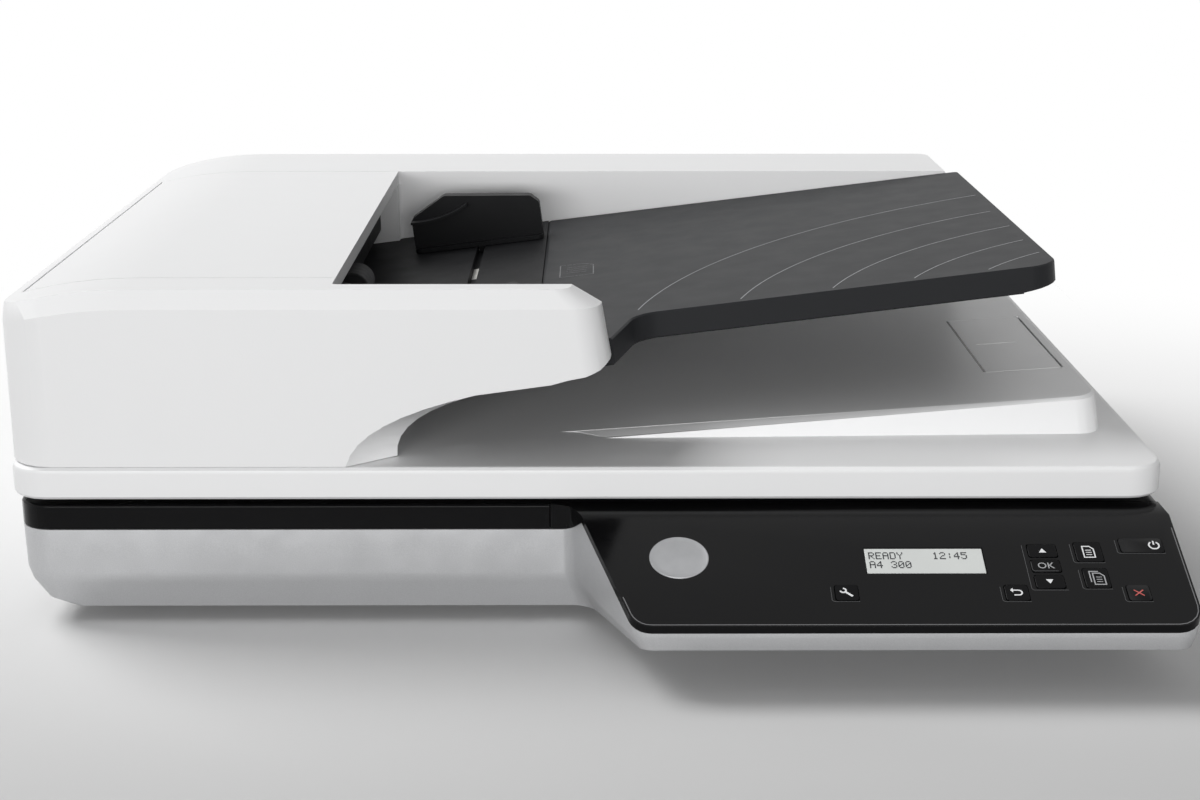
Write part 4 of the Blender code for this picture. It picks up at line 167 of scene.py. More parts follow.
# Key symbols, each measured from the middle of its key
SYMBOL_LINE = 0.00048
WRENCH_LEAN = -42
WRENCH_GAP = 104
WRENCH_REACH = 0.0029
WRENCH_HEAD = 0.001798
WRENCH_NECK = 0.001305
WRENCH_JAW_RADIUS = 0.001131
WRENCH_HANDLE_LINE = 0.000912
WRENCH_JAW_LINE = 0.000648
RETURN_RADIUS = 0.0013
RETURN_BEND_X = 0.00065
RETURN_LEFT = -0.00143
RETURN_TAIL = -0.001287
RETURN_HEAD_LENGTH = 0.0010875
RETURN_HEAD_HALF = 0.0012325
RETURN_LINE = 0.000576
ARROW_HALF = 0.00145
ARROW_TALL = 0.0023
PAGE_WIDTH = 0.0043
PAGE_HEIGHT = 0.0062
PAGE_FOLD = 0.0015
PAGE_INSET = 0.001032
PAGE_TEXT_SHARES = (0.25, 0.45, 0.65)
PAGE_TEXT_LINE = 0.000336
COPIES_SHIFT = 0.000946
COPIES_LEFT = 0.0012298
COPIES_UP = 0.0013244
COPIES_REACH = 0.002365
POWER_PLACE_SHARE = 0.52
POWER_RADIUS = 0.0020
POWER_GAP = 64
POWER_BAR = (0.0003, 0.0025)
POWER_LINE = 0.00062
CROSS_HALF_X = 0.0018
CROSS_HALF_Y = 0.00153
WORD_HEIGHT = 0.0046
WORD_STEPS = 3

# Painted highlights along the rims of the keys' wells
LONE_KEYS = ("key_settings", "key_back", "key_document", "key_copies", "key_power", "key_cancel")
RIM_HIGHLIGHT_LINE = 0.00020
KEY_EDGE = 0.00035
KEY_CORNER = 0.0012
KEY_CORNER_STEPS = 5
GROUP_MARGIN = 0.0008
OK_BOX_SHARE = 0.82

# Display: its lines of text, and the pitch and size of their dots
DISPLAY_LINES = ("READY    12:45", "A4 300")
DOT_PITCH_X = 0.00047
DOT_PITCH_Y = 0.00056
DOT_SHARE = 0.97
LETTER_DOTS = 6
LINE_DOTS = 9
TEXT_LEFT = 0.0014
TEXT_TOP = 0.0022
LETTERS = {
    "R": "11110 10001 10001 11110 10100 10010 10001",
    "E": "11111 10000 10000 11110 10000 10000 11111",
    "A": "01110 10001 10001 11111 10001 10001 10001",
    "D": "11110 10001 10001 10001 10001 10001 11110",
    "Y": "10001 10001 01010 00100 00100 00100 00100",
    "0": "01110 10001 10011 10101 11001 10001 01110",
    "1": "00100 01100 00100 00100 00100 00100 01110",
    "2": "01110 10001 00001 00110 01000 10000 11111",
    "3": "01110 10001 00001 00110 00001 10001 01110",
    "4": "00010 00110 01010 10010 11111 00010 00010",
    "5": "11111 10000 11110 00001 00001 10001 01110",
    ":": "00000 00100 00100 00000 00100 00100 00000",
    " ": "00000 00000 00000 00000 00000 00000 00000",
}

# Panel rim: a painted highlight, the line where the panel's edge catches the light, from its front corners back
PANEL_RIM_DEPTH = 0.0004
PANEL_RIM_WIDTH = 0.0004
PANEL_RIM_INSET = 0.0010
PANEL_RIM_FROM = -0.006

# Input tray: its hinge axis at Y zero, the slope that its extension slides along, and its face
TRAY_AXIS = Vector(JOINTS["input_tray_hinge"]["pos_m"]) * Vector((1, 0, 1))
TRAY_SLOPE = math.asin(JOINTS["extension_slide"]["axis"][2])
TRAY_TOP = 0.003
TRAY_FRONT = -0.0963
TRAY_MARGIN = 0.004
TRAY_LINE = 0.0005

# Rings and sheet symbol on the input tray
RIPPLE_CENTRE = (0.262, -0.152)
RIPPLE_RADII = (0.052, 0.070, 0.092, 0.118, 0.149, 0.186, 0.229)
RIPPLE_ANGLES = range(90, 211)
SHEET_MARK_PLACE = (0.0145, 0.008)
SHEET_MARK_WIDTH = 0.016
SHEET_MARK_DEPTH = 0.026
SHEET_MARK_FOLD = 0.0048
SHEET_MARK_INNER_HALF = 0.0048
SHEET_MARK_LINE_SHARES = (-0.4, -0.1, 0.2, 0.5)

# Paper stop: its hinge axis and slope, and the lines round it and along its groove: painted shade in its gap,
# painted highlights on its rims
STOP_AXIS = Vector(JOINTS["paper_stop_hinge"]["pos_m"])
STOP_SLOPE = math.radians(4.04)
STOP_LENGTH = 0.0335
STOP_HALF = 0.0483
STOP_TOP = 0.00125
STOP_GAP = 0.0009
STOP_LINE = 0.0005
STOP_GROOVE_Y = 0.0005
STOP_GROOVE_START = -0.0285
STOP_GROOVE_END = -0.0095

# Mouth of the feeder: a dark hood behind the cover's lip, open over the pick roller
HOOD_FACE_X = -0.1130
HOOD_THICKNESS = 0.0016
HOOD_TOP = 0.1383
HOOD_LOW = 0.1104
HOOD_CURL = 0.0045
HOOD_CURL_ANGLE = -70
HOOD_CURL_STEPS = 8
HOOD_SPANS = ((-0.1190, -0.0270), (0.0180, 0.1390))

# Pale pad on the back guide's rack
RACK_PAD_PLACE = (-0.0365, 0.0420, -0.0003)
RACK_PAD_WIDTH = 0.0036
RACK_PAD_LENGTH = 0.024

# Steel shafts that show between the rollers' tyres: the radius of each, and its sleeve's skin
SHAFT_RADII = {"feed_roller": 0.003, "turn_roller": 0.003, "exit_roller": 0.003, "pick_roller": 0.002}
SHAFT_SKIN = 0.00005
SHAFT_SIDES = 32

# Platform: left and right ends of its front top edge and of the ridge under it, and the
# shoulder between them
PLATFORM_EDGE = (Vector((-0.0050, -0.1010, 0.07205)), Vector((0.2083, -0.1010, 0.08731)))
PLATFORM_RIDGE = (Vector((0.0085, -0.1098, 0.07162)), Vector((0.2095, -0.1022, 0.08619)))
SHOULDER_STEPS = 40
SHOULDER_ROWS = 4
SHOULDER_WAY = Vector((0, -0.4, 1))
SHOULDER_LIFT = 0.00003
SHOULDER_BULGE = 0.00012
SHOULDER_SKIN = 0.0001

# Screws underneath, their outline as shares of their radius and head
SCREW_PLACES = (
    (-0.176, -0.124),
    (-0.176, 0.158),
    (0.176, -0.124),
    (0.176, 0.158),
    (0.0, 0.170),
    (-0.030, -0.124),
)
SCREW_RADIUS = 0.0032
SCREW_HEAD = 0.0012
SCREW_SHARES = ((0, -1), (0, 0.2), (0.28, 0.2), (0.28, 0.55), (0.8, 0.5), (1, 0), (1, -1), (0, -1))
SCREW_CROSS_SHARE = 0.616
SCREW_CROSS_LOW_SHARE = -0.5
SCREW_CROSS_HIGH_SHARE = 0.56
SCREW_CROSS_LINE = 0.0009
SCREW_SIDES = 24

# Bare label underneath
LABEL_SIZE = (0.062, 0.034)
LABEL_PLACE = (0.030, 0.060)
LABEL_SKIN = 0.0001
LABEL_INK = 0.00015
LABEL_MARGIN = 0.0025
LABEL_FRAME_LINE = 0.0004
LABEL_LINE = 0.0006
LABEL_LINES = 4
LABEL_FIRST_LINE = 0.009
LABEL_LINE_PITCH = 0.0055
LABEL_INDENT = 0.005
LABEL_SHORTER = 0.0075

# Bosses under the guide rod's seats, on the low chamfer at each side
BOSS_X = 0.2238
BOSS_Z = 0.0090
BOSS_TILT = math.radians(20)
BOSS_HALF_X = 0.0046
BOSS_HALF_Y = 0.0092
BOSS_CORNER = 0.002
BOSS_CORNER_STEPS = 4
BOSS_RISE = 0.0019
BOSS_SUNK = 0.0004


class Look:
    """A Principled material with helpers that add procedural nodes to it."""

    def __init__(self, name, colour, roughness, metallic=0.0, specular=0.5):
        self.material = bpy.data.materials.new(name)
        self.material.use_nodes = True
        self.tree = self.material.node_tree
        self.shader = self.tree.nodes["Principled BSDF"]
        self.colour = Vector(colour)
        self.roughness = roughness
        self.shader.inputs["Base Color"].default_value = (*colour, 1)
        self.shader.inputs["Roughness"].default_value = roughness
        self.shader.inputs["Metallic"].default_value = metallic
        self.shader.inputs["Specular IOR Level"].default_value = specular
        self.place = self.add("ShaderNodeTexCoord").outputs["Object"]
        self.normal = None

    def add(self, kind, links=(), **values):
        """A node, with links to its sockets, and values for its settings or its sockets."""
        node = self.tree.nodes.new(kind)
        for key, value in values.items():
            if hasattr(node, key):
                setattr(node, key, value)
            else:
                node.inputs[key.replace("_", " ")].default_value = value
        for key, source in dict(links).items():
            self.tree.links.new(source, node.inputs[key])
        return node

    def noise(self, scale, detail, stretch=None):
        vector = self.place
        if stretch:
            mapping = self.add("ShaderNodeMapping", {"Vector": vector}, Scale=stretch)
            vector = mapping.outputs["Vector"]
        links = {"Vector": vector}
        return self.add("ShaderNodeTexNoise", links, Scale=scale, Detail=detail).outputs["Fac"]

    def cells(self, scale):
        links = {"Vector": self.place}
        return self.add("ShaderNodeTexVoronoi", links, Scale=scale).outputs["Distance"]

    def spread(self, source, low, high):
        """A value that runs from low to high as the source runs over its usual range."""
        node = self.add(
            "ShaderNodeMapRange",
            {"Value": source},
            From_Min=NOISE_LOW,
            From_Max=NOISE_HIGH,
            To_Min=low,
            To_Max=high,
        )
        return node.outputs["Result"]

    def mix(self, factor, low, high):
        """A colour between two others, each of them a colour or a socket."""
        node = self.add("ShaderNodeMix", {MIX_FACTOR: factor}, data_type="RGBA")
        for index, value in ((MIX_LOW, low), (MIX_HIGH, high)):
            if isinstance(value, bpy.types.NodeSocket):
                self.tree.links.new(value, node.inputs[index])
            else:
                node.inputs[index].default_value = (*value, 1)
        return node.outputs[MIX_RESULT]

    def paint(self, colour):
        self.tree.links.new(colour, self.shader.inputs["Base Color"])

    def show(self, shader):
        self.tree.links.new(shader, self.tree.nodes["Material Output"].inputs["Surface"])

    def tint(self, source, amount):
        """Lets the colour vary by this share either way."""
        factor = self.spread(source, 0.0, 1.0)
        self.paint(self.mix(factor, self.colour * (1 - amount), self.colour * (1 + amount)))

    def wander(self, source, amount):
        """Lets the roughness vary by this much either way."""
        value = self.spread(source, self.roughness - amount, self.roughness + amount)
        self.tree.links.new(value, self.shader.inputs["Roughness"])

    def bump(self, source, depth, strength):
        """Adds a relief of this depth, on top of the ones before it."""
        links = {"Height": source}
        if self.normal:
            links["Normal"] = self.normal
        node = self.add("ShaderNodeBump", links, Strength=strength, Distance=depth)
        self.normal = node.outputs["Normal"]
        self.tree.links.new(self.normal, self.shader.inputs["Normal"])


def moulded(name, colour, roughness, tint, wander, specular):
    """Moulded plastic: fine spark-eroded grain, and slow changes of shade and sheen."""
    look = Look(name, colour, roughness, specular=specular)
    look.tint(look.noise(scale=11.0, detail=3.0), tint)
    look.wander(look.noise(scale=70.0, detail=3.0), wander)
    look.bump(look.noise(scale=GRAIN_SCALE, detail=2.0), GRAIN_DEPTH, strength=0.5)
    look.bump(look.cells(scale=PIT_SCALE), GRAIN_DEPTH, strength=0.25)
    return look.material


def polished(name, colour, roughness, wave, specular):
    """Glossy plastic: a slight waviness, and faint rubbing marks in the gloss."""
    look = Look(name, colour, roughness, specular=specular)
    look.tint(look.noise(scale=30.0, detail=2.0), amount=0.05)
    rubbed = look.noise(scale=260.0, detail=4.0, stretch=(1.0, 5.0, 1.0))
    look.wander(rubbed, roughness * RUBBED_SHARE)
    look.bump(look.noise(scale=16.0, detail=1.0), wave, strength=0.5)
    return look.material


def painted_silver():
    """Silver paint: small flakes that turn the normal a little and glint."""
    look = Look("silver_paint", (0.54, 0.545, 0.555), roughness=0.36, metallic=0.45)
    look.tint(look.noise(scale=2600.0, detail=2.0), amount=0.06)
    look.wander(look.noise(scale=90.0, detail=3.0), amount=0.05)
    look.bump(look.cells(scale=3200.0), depth=0.00003, strength=0.35)
    return look.material


def rubber(name, colour):
    """Dull rubber with a little dust in its pores."""
    look = Look(name, colour, RUBBER_ROUGHNESS, specular=0.3)
    look.tint(look.noise(scale=320.0, detail=4.0), amount=0.14)
    look.wander(look.noise(scale=240.0, detail=2.0), amount=0.08)
    look.bump(look.noise(scale=1500.0, detail=3.0), depth=0.00006, strength=0.6)
    return look.material


def drawn_steel():
    """Steel with fine drawing lines along X."""
    look = Look("drawn_steel", (0.56, 0.56, 0.57), roughness=0.28, metallic=1.0)
    lines = look.noise(scale=900.0, detail=3.0, stretch=(0.06, 1.0, 1.0))
    look.tint(look.noise(scale=40.0, detail=3.0), amount=0.06)
    look.wander(lines, amount=0.08)
    look.bump(lines, depth=0.00001, strength=0.4)
    return look.material


def foam():
    """White foam with fine open cells."""
    look = Look("foam_face", (0.86, 0.86, 0.85), roughness=0.85, specular=0.25)
    look.tint(look.noise(scale=500.0, detail=3.0), amount=0.03)
    look.wander(look.noise(scale=300.0, detail=2.0), amount=0.05)
    look.bump(look.cells(scale=1100.0), depth=0.00008, strength=0.5)
    return look.material


def circuit_board():
    """Green solder mask with paler copper runs under it."""
    look = Look("solder_mask", (0.015, 0.10, 0.045), roughness=0.34)
    runs = look.add(
        "ShaderNodeTexBrick",
        {"Vector": look.place},
        Scale=140.0,
        Mortar_Size=0.06,
        Brick_Width=1.4,
        Row_Height=0.35,
    ).outputs["Fac"]
    look.paint(look.mix(runs, look.colour, (0.03, 0.19, 0.08)))
    look.bump(runs, depth=0.00004, strength=0.6)
    look.bump(look.noise(scale=700.0, detail=2.0), depth=0.00002, strength=0.3)
    return look.material


def acetal():
    """Creamy gear plastic that lets a little light in."""
    look = Look("acetal", (0.74, 0.73, 0.69), roughness=0.42)
    look.shader.inputs["Subsurface Weight"].default_value = 0.15
    look.shader.inputs["Subsurface Radius"].default_value = (0.002, 0.002, 0.002)
    look.tint(look.noise(scale=90.0, detail=3.0), amount=0.03)
    look.wander(look.noise(scale=160.0, detail=2.0), amount=0.05)
    look.bump(look.noise(scale=1200.0, detail=2.0), depth=0.00002, strength=0.4)
    return look.material


def clear_glass():
    """Float glass: tinted and clear from above, mirror-like at a flat angle."""
    look = Look("float_glass", (0.86, 0.93, 0.90), roughness=0.01)
    look.tree.nodes.remove(look.shader)
    smear = look.noise(scale=22.0, detail=5.0)
    sheen = look.add("ShaderNodeMapRange", {"Value": smear}, To_Min=0.01, To_Max=0.06)
    gloss = look.add("ShaderNodeBsdfGlossy", {"Roughness": sheen.outputs["Result"]})
    clear = look.add("ShaderNodeBsdfTransparent", Color=(*look.colour, 1))
    flat_angle = look.add("ShaderNodeFresnel", IOR=1.5)
    links = {0: flat_angle.outputs["Fac"], 1: clear.outputs["BSDF"], 2: gloss.outputs["BSDF"]}
    look.show(look.add("ShaderNodeMixShader", links).outputs["Shader"])
    return look.material


def liquid_crystal():
    """A pale display with the faint grid of its dots."""
    look = Look("liquid_crystal", (0.63, 0.65, 0.635), roughness=0.22)
    grid = look.add(
        "ShaderNodeTexBrick",
        {"Vector": look.place},
        offset=0.0,
        Scale=1.0,
        Mortar_Size=0.00006,
        Brick_Width=DOT_PITCH_X,
        Row_Height=DOT_PITCH_Y,
    )
    soft = look.spread(look.noise(scale=45.0, detail=2.0), 0.0, 1.0)
    pale = look.mix(soft, look.colour * (1 - DISPLAY_TINT), look.colour * (1 + DISPLAY_TINT))
    look.paint(look.mix(grid.outputs["Fac"], pale, look.colour * DISPLAY_GRID_SHARE))
    look.wander(look.noise(scale=120.0, detail=2.0), amount=0.04)
    return look.material


def badge_metal():
    """Satin metal, brushed in rings."""
    look = Look("satin_metal", (0.38, 0.385, 0.395), roughness=0.42, metallic=0.6)
    rings = look.add(
        "ShaderNodeTexWave",
        {"Vector": look.place},
        wave_type="RINGS",
        rings_direction="Z",
        Scale=2600.0,
        Distortion=1.5,
        Detail=2.0,
    ).outputs["Fac"]
    look.tint(look.noise(scale=150.0, detail=3.0), amount=0.05)
    look.wander(rings, amount=0.06)
    look.bump(rings, depth=0.000008, strength=0.5)
    return look.material


def ink(name, colour, roughness=0.45):
    """Screen-printed ink, a little uneven."""
    look = Look(name, colour, roughness)
    look.tint(look.noise(scale=900.0, detail=3.0), amount=0.06)
    look.wander(look.noise(scale=700.0, detail=2.0), amount=0.06)
    return look.material


def make_looks():
    """Every material of the object, by a short name."""
    return {
        "white": moulded(
            "white_plastic", (0.83, 0.832, 0.836), roughness=0.38, tint=0.003, wander=0.02, specular=0.32
        ),
        "matt": moulded(
            "matt_black", (0.0085, 0.0088, 0.0096), roughness=0.50, tint=0.05, wander=0.03, specular=0.09
        ),
        "grey": moulded(
            "dark_grey", (0.019, 0.0197, 0.0215), roughness=0.46, tint=0.02, wander=0.02, specular=0.09
        ),
        "gloss": polished(
            "gloss_black", (0.0042, 0.0042, 0.0046), roughness=0.14, wave=0.00005, specular=0.12
        ),
        "key": polished("key_black", (0.0025, 0.0025, 0.003), roughness=0.16, wave=0.00001, specular=0.08),
        "silver": painted_silver(),
        "glass": clear_glass(),
        "display": liquid_crystal(),
        "rubber": rubber("soft_rubber", (0.035, 0.035, 0.037)),
        "steel": drawn_steel(),
        "acetal": acetal(),
        "foam": foam(),
        "board": circuit_board(),
        "badge": badge_metal(),
        # painted highlight: grey ink for the light caught along the panel's edge
        "rim": ink("painted_panel_highlight", (0.13, 0.13, 0.135), roughness=0.25),
        # painted highlight: grey ink that stands in for light caught on the rims of the keys' wells
        "painted_key_highlight": ink("painted_key_highlight", (0.060, 0.061, 0.064), roughness=0.3),
        "dark_dot": ink("dark_dot", (0.012, 0.013, 0.017), roughness=0.3),
        "white_ink": ink("white_ink", (0.78, 0.79, 0.80)),
        "grey_ink": ink("grey_ink", (0.36, 0.365, 0.375)),
        "red_ink": ink("red_ink", (0.50, 0.10, 0.09)),
        "line_ink": ink("line_ink", (0.26, 0.265, 0.275)),
        # the underside label's own white, and also a painted highlight on the paper stop's rims
        "pale_label_and_painted_highlight": ink("pale_label_and_painted_highlight", (0.90, 0.90, 0.90)),
    }


LOOKS = make_looks()


def soften(node, width, flatness):
    """Welds a CAD node's faces, rounds its edges by a modifier and shades it smooth."""
    mesh = node.data
    for name in ("custom_normal", "sharp_face", "sharp_edge"):
        if name in mesh.attributes:
            mesh.attributes.remove(mesh.attributes[name])
    mesh.shade_smooth()
    weld = node.modifiers.new("weld", "WELD")
    weld.merge_threshold = WELD_DISTANCE
    flat = node.modifiers.new("flat", "DECIMATE")
    flat.decimate_type = "DISSOLVE"
    flat.angle_limit = flatness
    edge = node.modifiers.new("edge", "BEVEL")
    edge.width = width
    edge.segments = EDGE_SEGMENTS
    edge.limit_method = "ANGLE"
    edge.angle_limit = EDGE_ANGLE
    normals = node.modifiers.new("normals", "WEIGHTED_NORMAL")
    normals.keep_sharp = True


def dress_nodes():
    """Gives each CAD node the look of its slot, and soft edges."""
    slots = {row["node"]: row["material_slot"] for row in frame["record"]["subparts"]}
    for name, node in NODES.items():
        node.data.materials.clear()
        node.data.materials.append(LOOKS[SLOT_LOOKS[slots[name]]])
        soften(node, EDGE_WIDTHS.get(name, EDGE_WIDTH), FLATNESS_OF.get(name, FLATNESS))


def place_piece(name, bm, look, body, matrix=Matrix.Identity(4)):
    """Makes a piece from a mesh, in the axes of the matrix, and lets it ride on a body."""
    bm.normal_update()
    bmesh.ops.recalc_face_normals(bm, faces=bm.faces)
    mesh = bpy.data.meshes.new(name)
    bm.to_mesh(mesh)
    bm.free()
    mesh.shade_smooth()
    mesh.set_sharp_from_angle(angle=SHARP_ANGLE)
    mesh.materials.append(LOOKS[look])
    piece = bpy.data.objects.new(name, mesh)
    bpy.context.scene.collection.objects.link(piece)
    piece.matrix_world = matrix
    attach(piece, body)


def ribbon(bm, points, width, closed=False, low=-INK_SUNK, high=INK, aside=0.0):
    """A flat stroke of this width along points, or this far to their left, with mitred corners."""
    points = [Vector(point) for point in points]
    count = len(points)
    sides = []
    for index, point in enumerate(points):
        before = points[index - 1] if closed or index else None
        after = points[(index + 1) % count] if closed or index < count - 1 else None
        back = (point - before).normalized() if before else (after - point).normalized()
        ahead = (after - point).normalized() if after else back
        across = Vector((-(back + ahead).y, (back + ahead).x)).normalized()
        across /= max(MITRE_LIMIT, across.dot(Vector((-ahead.y, ahead.x))))
        sides.append((point + across * (aside + width / 2), point + across * (aside - width / 2)))
    corners = [
        [bm.verts.new((*side, z)) for side in pair for z in (low, high)]
        for pair in sides
    ]
    pairs = list(zip(corners, corners[1:] + corners[:1] if closed else corners[1:]))
    for (a_low, a_high, b_low, b_high), (c_low, c_high, d_low, d_high) in pairs:
        bm.faces.new((a_high, b_high, d_high, c_high))
        bm.faces.new((a_low, c_low, d_low, b_low))
        bm.faces.new((a_low, a_high, c_high, c_low))
        bm.faces.new((b_low, d_low, d_high, b_high))
    if not closed:
        for a_low, a_high, b_low, b_high in (corners[0], corners[-1]):
            bm.faces.new((a_low, b_low, b_high, a_high))


def patch(bm, points, low=-INK_SUNK, high=INK):
    """A flat filled outline."""
    bottom = [bm.verts.new((*point, low)) for point in points]
    top = [bm.verts.new((*point, high)) for point in points]
    bm.faces.new(top)
    bm.faces.new(bottom[::-1])
    for index in range(len(points)):
        after = (index + 1) % len(points)
        bm.faces.new((bottom[index], bottom[after], top[after], top[index]))


def oblong(half_x, half_y):
    """The corners of an oblong round the middle."""
    return [(-half_x, -half_y), (half_x, -half_y), (half_x, half_y), (-half_x, half_y)]


def arc(middle, radius, start, end, steps=ARC_STEPS):
    """Points on an arc between two angles in degrees."""
    points = []
    for step in range(steps + 1):
        angle = math.radians(start + (end - start) * step / steps)
        points.append((middle[0] + radius * math.cos(angle), middle[1] + radius * math.sin(angle)))
    return points


def turned(profile, sides):
    """A shape turned about Z from a profile of (radius, z)."""
    bm = bmesh.new()
    verts = [bm.verts.new((radius, 0, z)) for radius, z in profile]
    edges = [bm.edges.new(pair) for pair in zip(verts, verts[1:])]
    bmesh.ops.spin(
        bm,
        geom=verts + edges,
        cent=(0, 0, 0),
        axis=(0, 0, 1),
        angle=2 * math.pi,
        steps=sides,
        use_merge=True,
    )
    bmesh.ops.remove_doubles(bm, verts=bm.verts, dist=MERGE_DISTANCE)
    return bm


def panel_matrix(x, down):
    """The axes of a place on the panel's slope: X right, Y up the slope, Z out of it."""
    tilt = Matrix.Rotation(PANEL_SLOPE, 4, "X")
    return Matrix.Translation(PANEL_BEND) @ tilt @ Matrix.Translation((x, -down, 0))


def tray_matrix(x, y, rise=TRAY_TOP):
    """Axes on the tray's slope, from its hinge axis: X up the tray, Y back, Z out of it."""
    tilt = Matrix.Rotation(-TRAY_SLOPE, 4, "Y")
    return Matrix.Translation(TRAY_AXIS) @ tilt @ Matrix.Translation((x, y, rise))


def key_face(name):
    """The axes of a key's face, and half its width and height."""
    low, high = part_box(name)
    size = high - low
    sine, cosine = math.sin(PANEL_SLOPE), math.cos(PANEL_SLOPE)
    spread = cosine**2 - sine**2
    height = (size.y * cosine - size.z * sine) / spread
    depth = (size.z * cosine - size.y * sine) / spread
    tilt = Matrix.Rotation(PANEL_SLOPE, 4, "X")
    face = Matrix.Translation((low + high) / 2) @ tilt @ Matrix.Translation((0, 0, depth / 2))
    return face, size.x / 2, height / 2


def draw_wrench(bm):
    """A spanner: a leaning handle, and an open jaw at its upper end."""
    lean = math.radians(WRENCH_LEAN)
    axis = Vector((math.cos(lean), math.sin(lean)))
    head = -axis * WRENCH_HEAD
    ribbon(bm, [head + axis * WRENCH_NECK, axis * WRENCH_REACH], WRENCH_HANDLE_LINE)
    start = WRENCH_LEAN + 180 + WRENCH_GAP / 2
    jaw = arc(head, WRENCH_JAW_RADIUS, start, start + 360 - WRENCH_GAP)
    ribbon(bm, jaw, WRENCH_JAW_LINE, high=INK_OVER)


def draw_return(bm):
    """An arrow that bends back to the left."""
    bend = arc((RETURN_BEND_X, 0), RETURN_RADIUS, 90, -90)
    path = [(RETURN_LEFT, RETURN_RADIUS), *bend, (RETURN_TAIL, -RETURN_RADIUS)]
    ribbon(bm, path, RETURN_LINE)
    tip = (RETURN_LEFT - RETURN_HEAD_LENGTH, RETURN_RADIUS)
    low = (RETURN_LEFT, RETURN_RADIUS - RETURN_HEAD_HALF)
    high = (RETURN_LEFT, RETURN_RADIUS + RETURN_HEAD_HALF)
    patch(bm, [tip, low, high], high=INK_OVER)


def draw_triangle(bm, way):
    """A triangle that points up where way is 1, and down where it is -1."""
    tip = way * ARROW_TALL / 2
    patch(bm, [(-ARROW_HALF, -tip), (ARROW_HALF, -tip), (0, tip)])


def draw_page(bm, left=-PAGE_WIDTH / 2, low=-PAGE_HEIGHT / 2):
    """A sheet with a folded corner and three lines of text."""
    right, top = left + PAGE_WIDTH, low + PAGE_HEIGHT
    fold = [(right, top - PAGE_FOLD), (right - PAGE_FOLD, top)]
    ribbon(bm, [(left, low), (right, low), *fold, (left, top)], SYMBOL_LINE, closed=True)
    for share in PAGE_TEXT_SHARES:
        y = low + PAGE_HEIGHT * share
        ribbon(bm, [(left + PAGE_INSET, y), (right - PAGE_INSET, y)], PAGE_TEXT_LINE)


def draw_copies(bm):
    """A sheet with the edge of another one behind it."""
    left, low = COPIES_SHIFT - PAGE_WIDTH / 2, -PAGE_HEIGHT / 2 - COPIES_SHIFT / 2
    draw_page(bm, left, low)
    edge, top = left - COPIES_LEFT, low + PAGE_HEIGHT + COPIES_SHIFT
    ribbon(bm, [(edge, low + COPIES_UP), (edge, top), (left + COPIES_REACH, top)], SYMBOL_LINE)


def draw_power(bm):
    """The usual power sign, right of the key's middle."""
    x = key_face("key_power")[1] * POWER_PLACE_SHARE
    start = 90 + POWER_GAP / 2
    ribbon(bm, arc((x, 0), POWER_RADIUS, start, start + 360 - POWER_GAP, ARC_STEPS * 2), POWER_LINE)
    ribbon(bm, [(x, y) for y in POWER_BAR], POWER_LINE)


def draw_cross(bm):
    x, y = CROSS_HALF_X, CROSS_HALF_Y
    ribbon(bm, [(-x, -y), (x, y)], SYMBOL_LINE)
    ribbon(bm, [(-x, y), (x, -y)], SYMBOL_LINE, high=INK_CROSSED)


def symbol(key, look, draw, *more):
    """Prints a symbol on a key: draw adds its strokes to a mesh."""
    bm = bmesh.new()
    draw(bm, *more)
    place_piece(key + "_symbol", bm, look, key, key_face(key)[0])


def word(key, letters, look):
    """Prints a word on a key in Blender's own plain letters, as thin raised print."""
    text = bpy.data.curves.new(key + "_text", "FONT")
    text.body = letters
    text.size = WORD_HEIGHT
    text.align_x = "CENTER"
    text.align_y = "CENTER"
    text.extrude = INK
    text.resolution_u = WORD_STEPS
    holder = bpy.data.objects.new(key + "_holder", text)
    bpy.context.scene.collection.objects.link(holder)
    bpy.context.view_layer.update()
    shown = holder.evaluated_get(bpy.context.evaluated_depsgraph_get())
    bm = bmesh.new()
    bm.from_mesh(bpy.data.meshes.new_from_object(shown))
    bmesh.ops.remove_doubles(bm, verts=bm.verts, dist=MERGE_DISTANCE)
    bpy.data.objects.remove(holder)
    place_piece(key + "_symbol", bm, look, key, key_face(key)[0])


def print_keys():
    """Generic signs on the nine keys."""
    symbol("key_settings", "white_ink", draw_wrench)
    symbol("key_back", "white_ink", draw_return)
    symbol("key_up", "white_ink", draw_triangle, 1)
    symbol("key_down", "white_ink", draw_triangle, -1)
    symbol("key_document", "white_ink", draw_page)
    symbol("key_copies", "grey_ink", draw_copies)
    symbol("key_power", "white_ink", draw_power)
    symbol("key_cancel", "red_ink", draw_cross)
    word("key_ok", "OK", "grey_ink")


def draw_edge(bm, left, right, low, high):
    """A painted highlight: the catch of light along the left and lower rim of a key's well."""
    middle = (left + KEY_CORNER, low + KEY_CORNER)
    corner = arc(middle, KEY_CORNER, 180, 270, KEY_CORNER_STEPS)
    ribbon(bm, [(left, high - KEY_CORNER), *corner, (right - KEY_CORNER, low)], RIM_HIGHLIGHT_LINE)


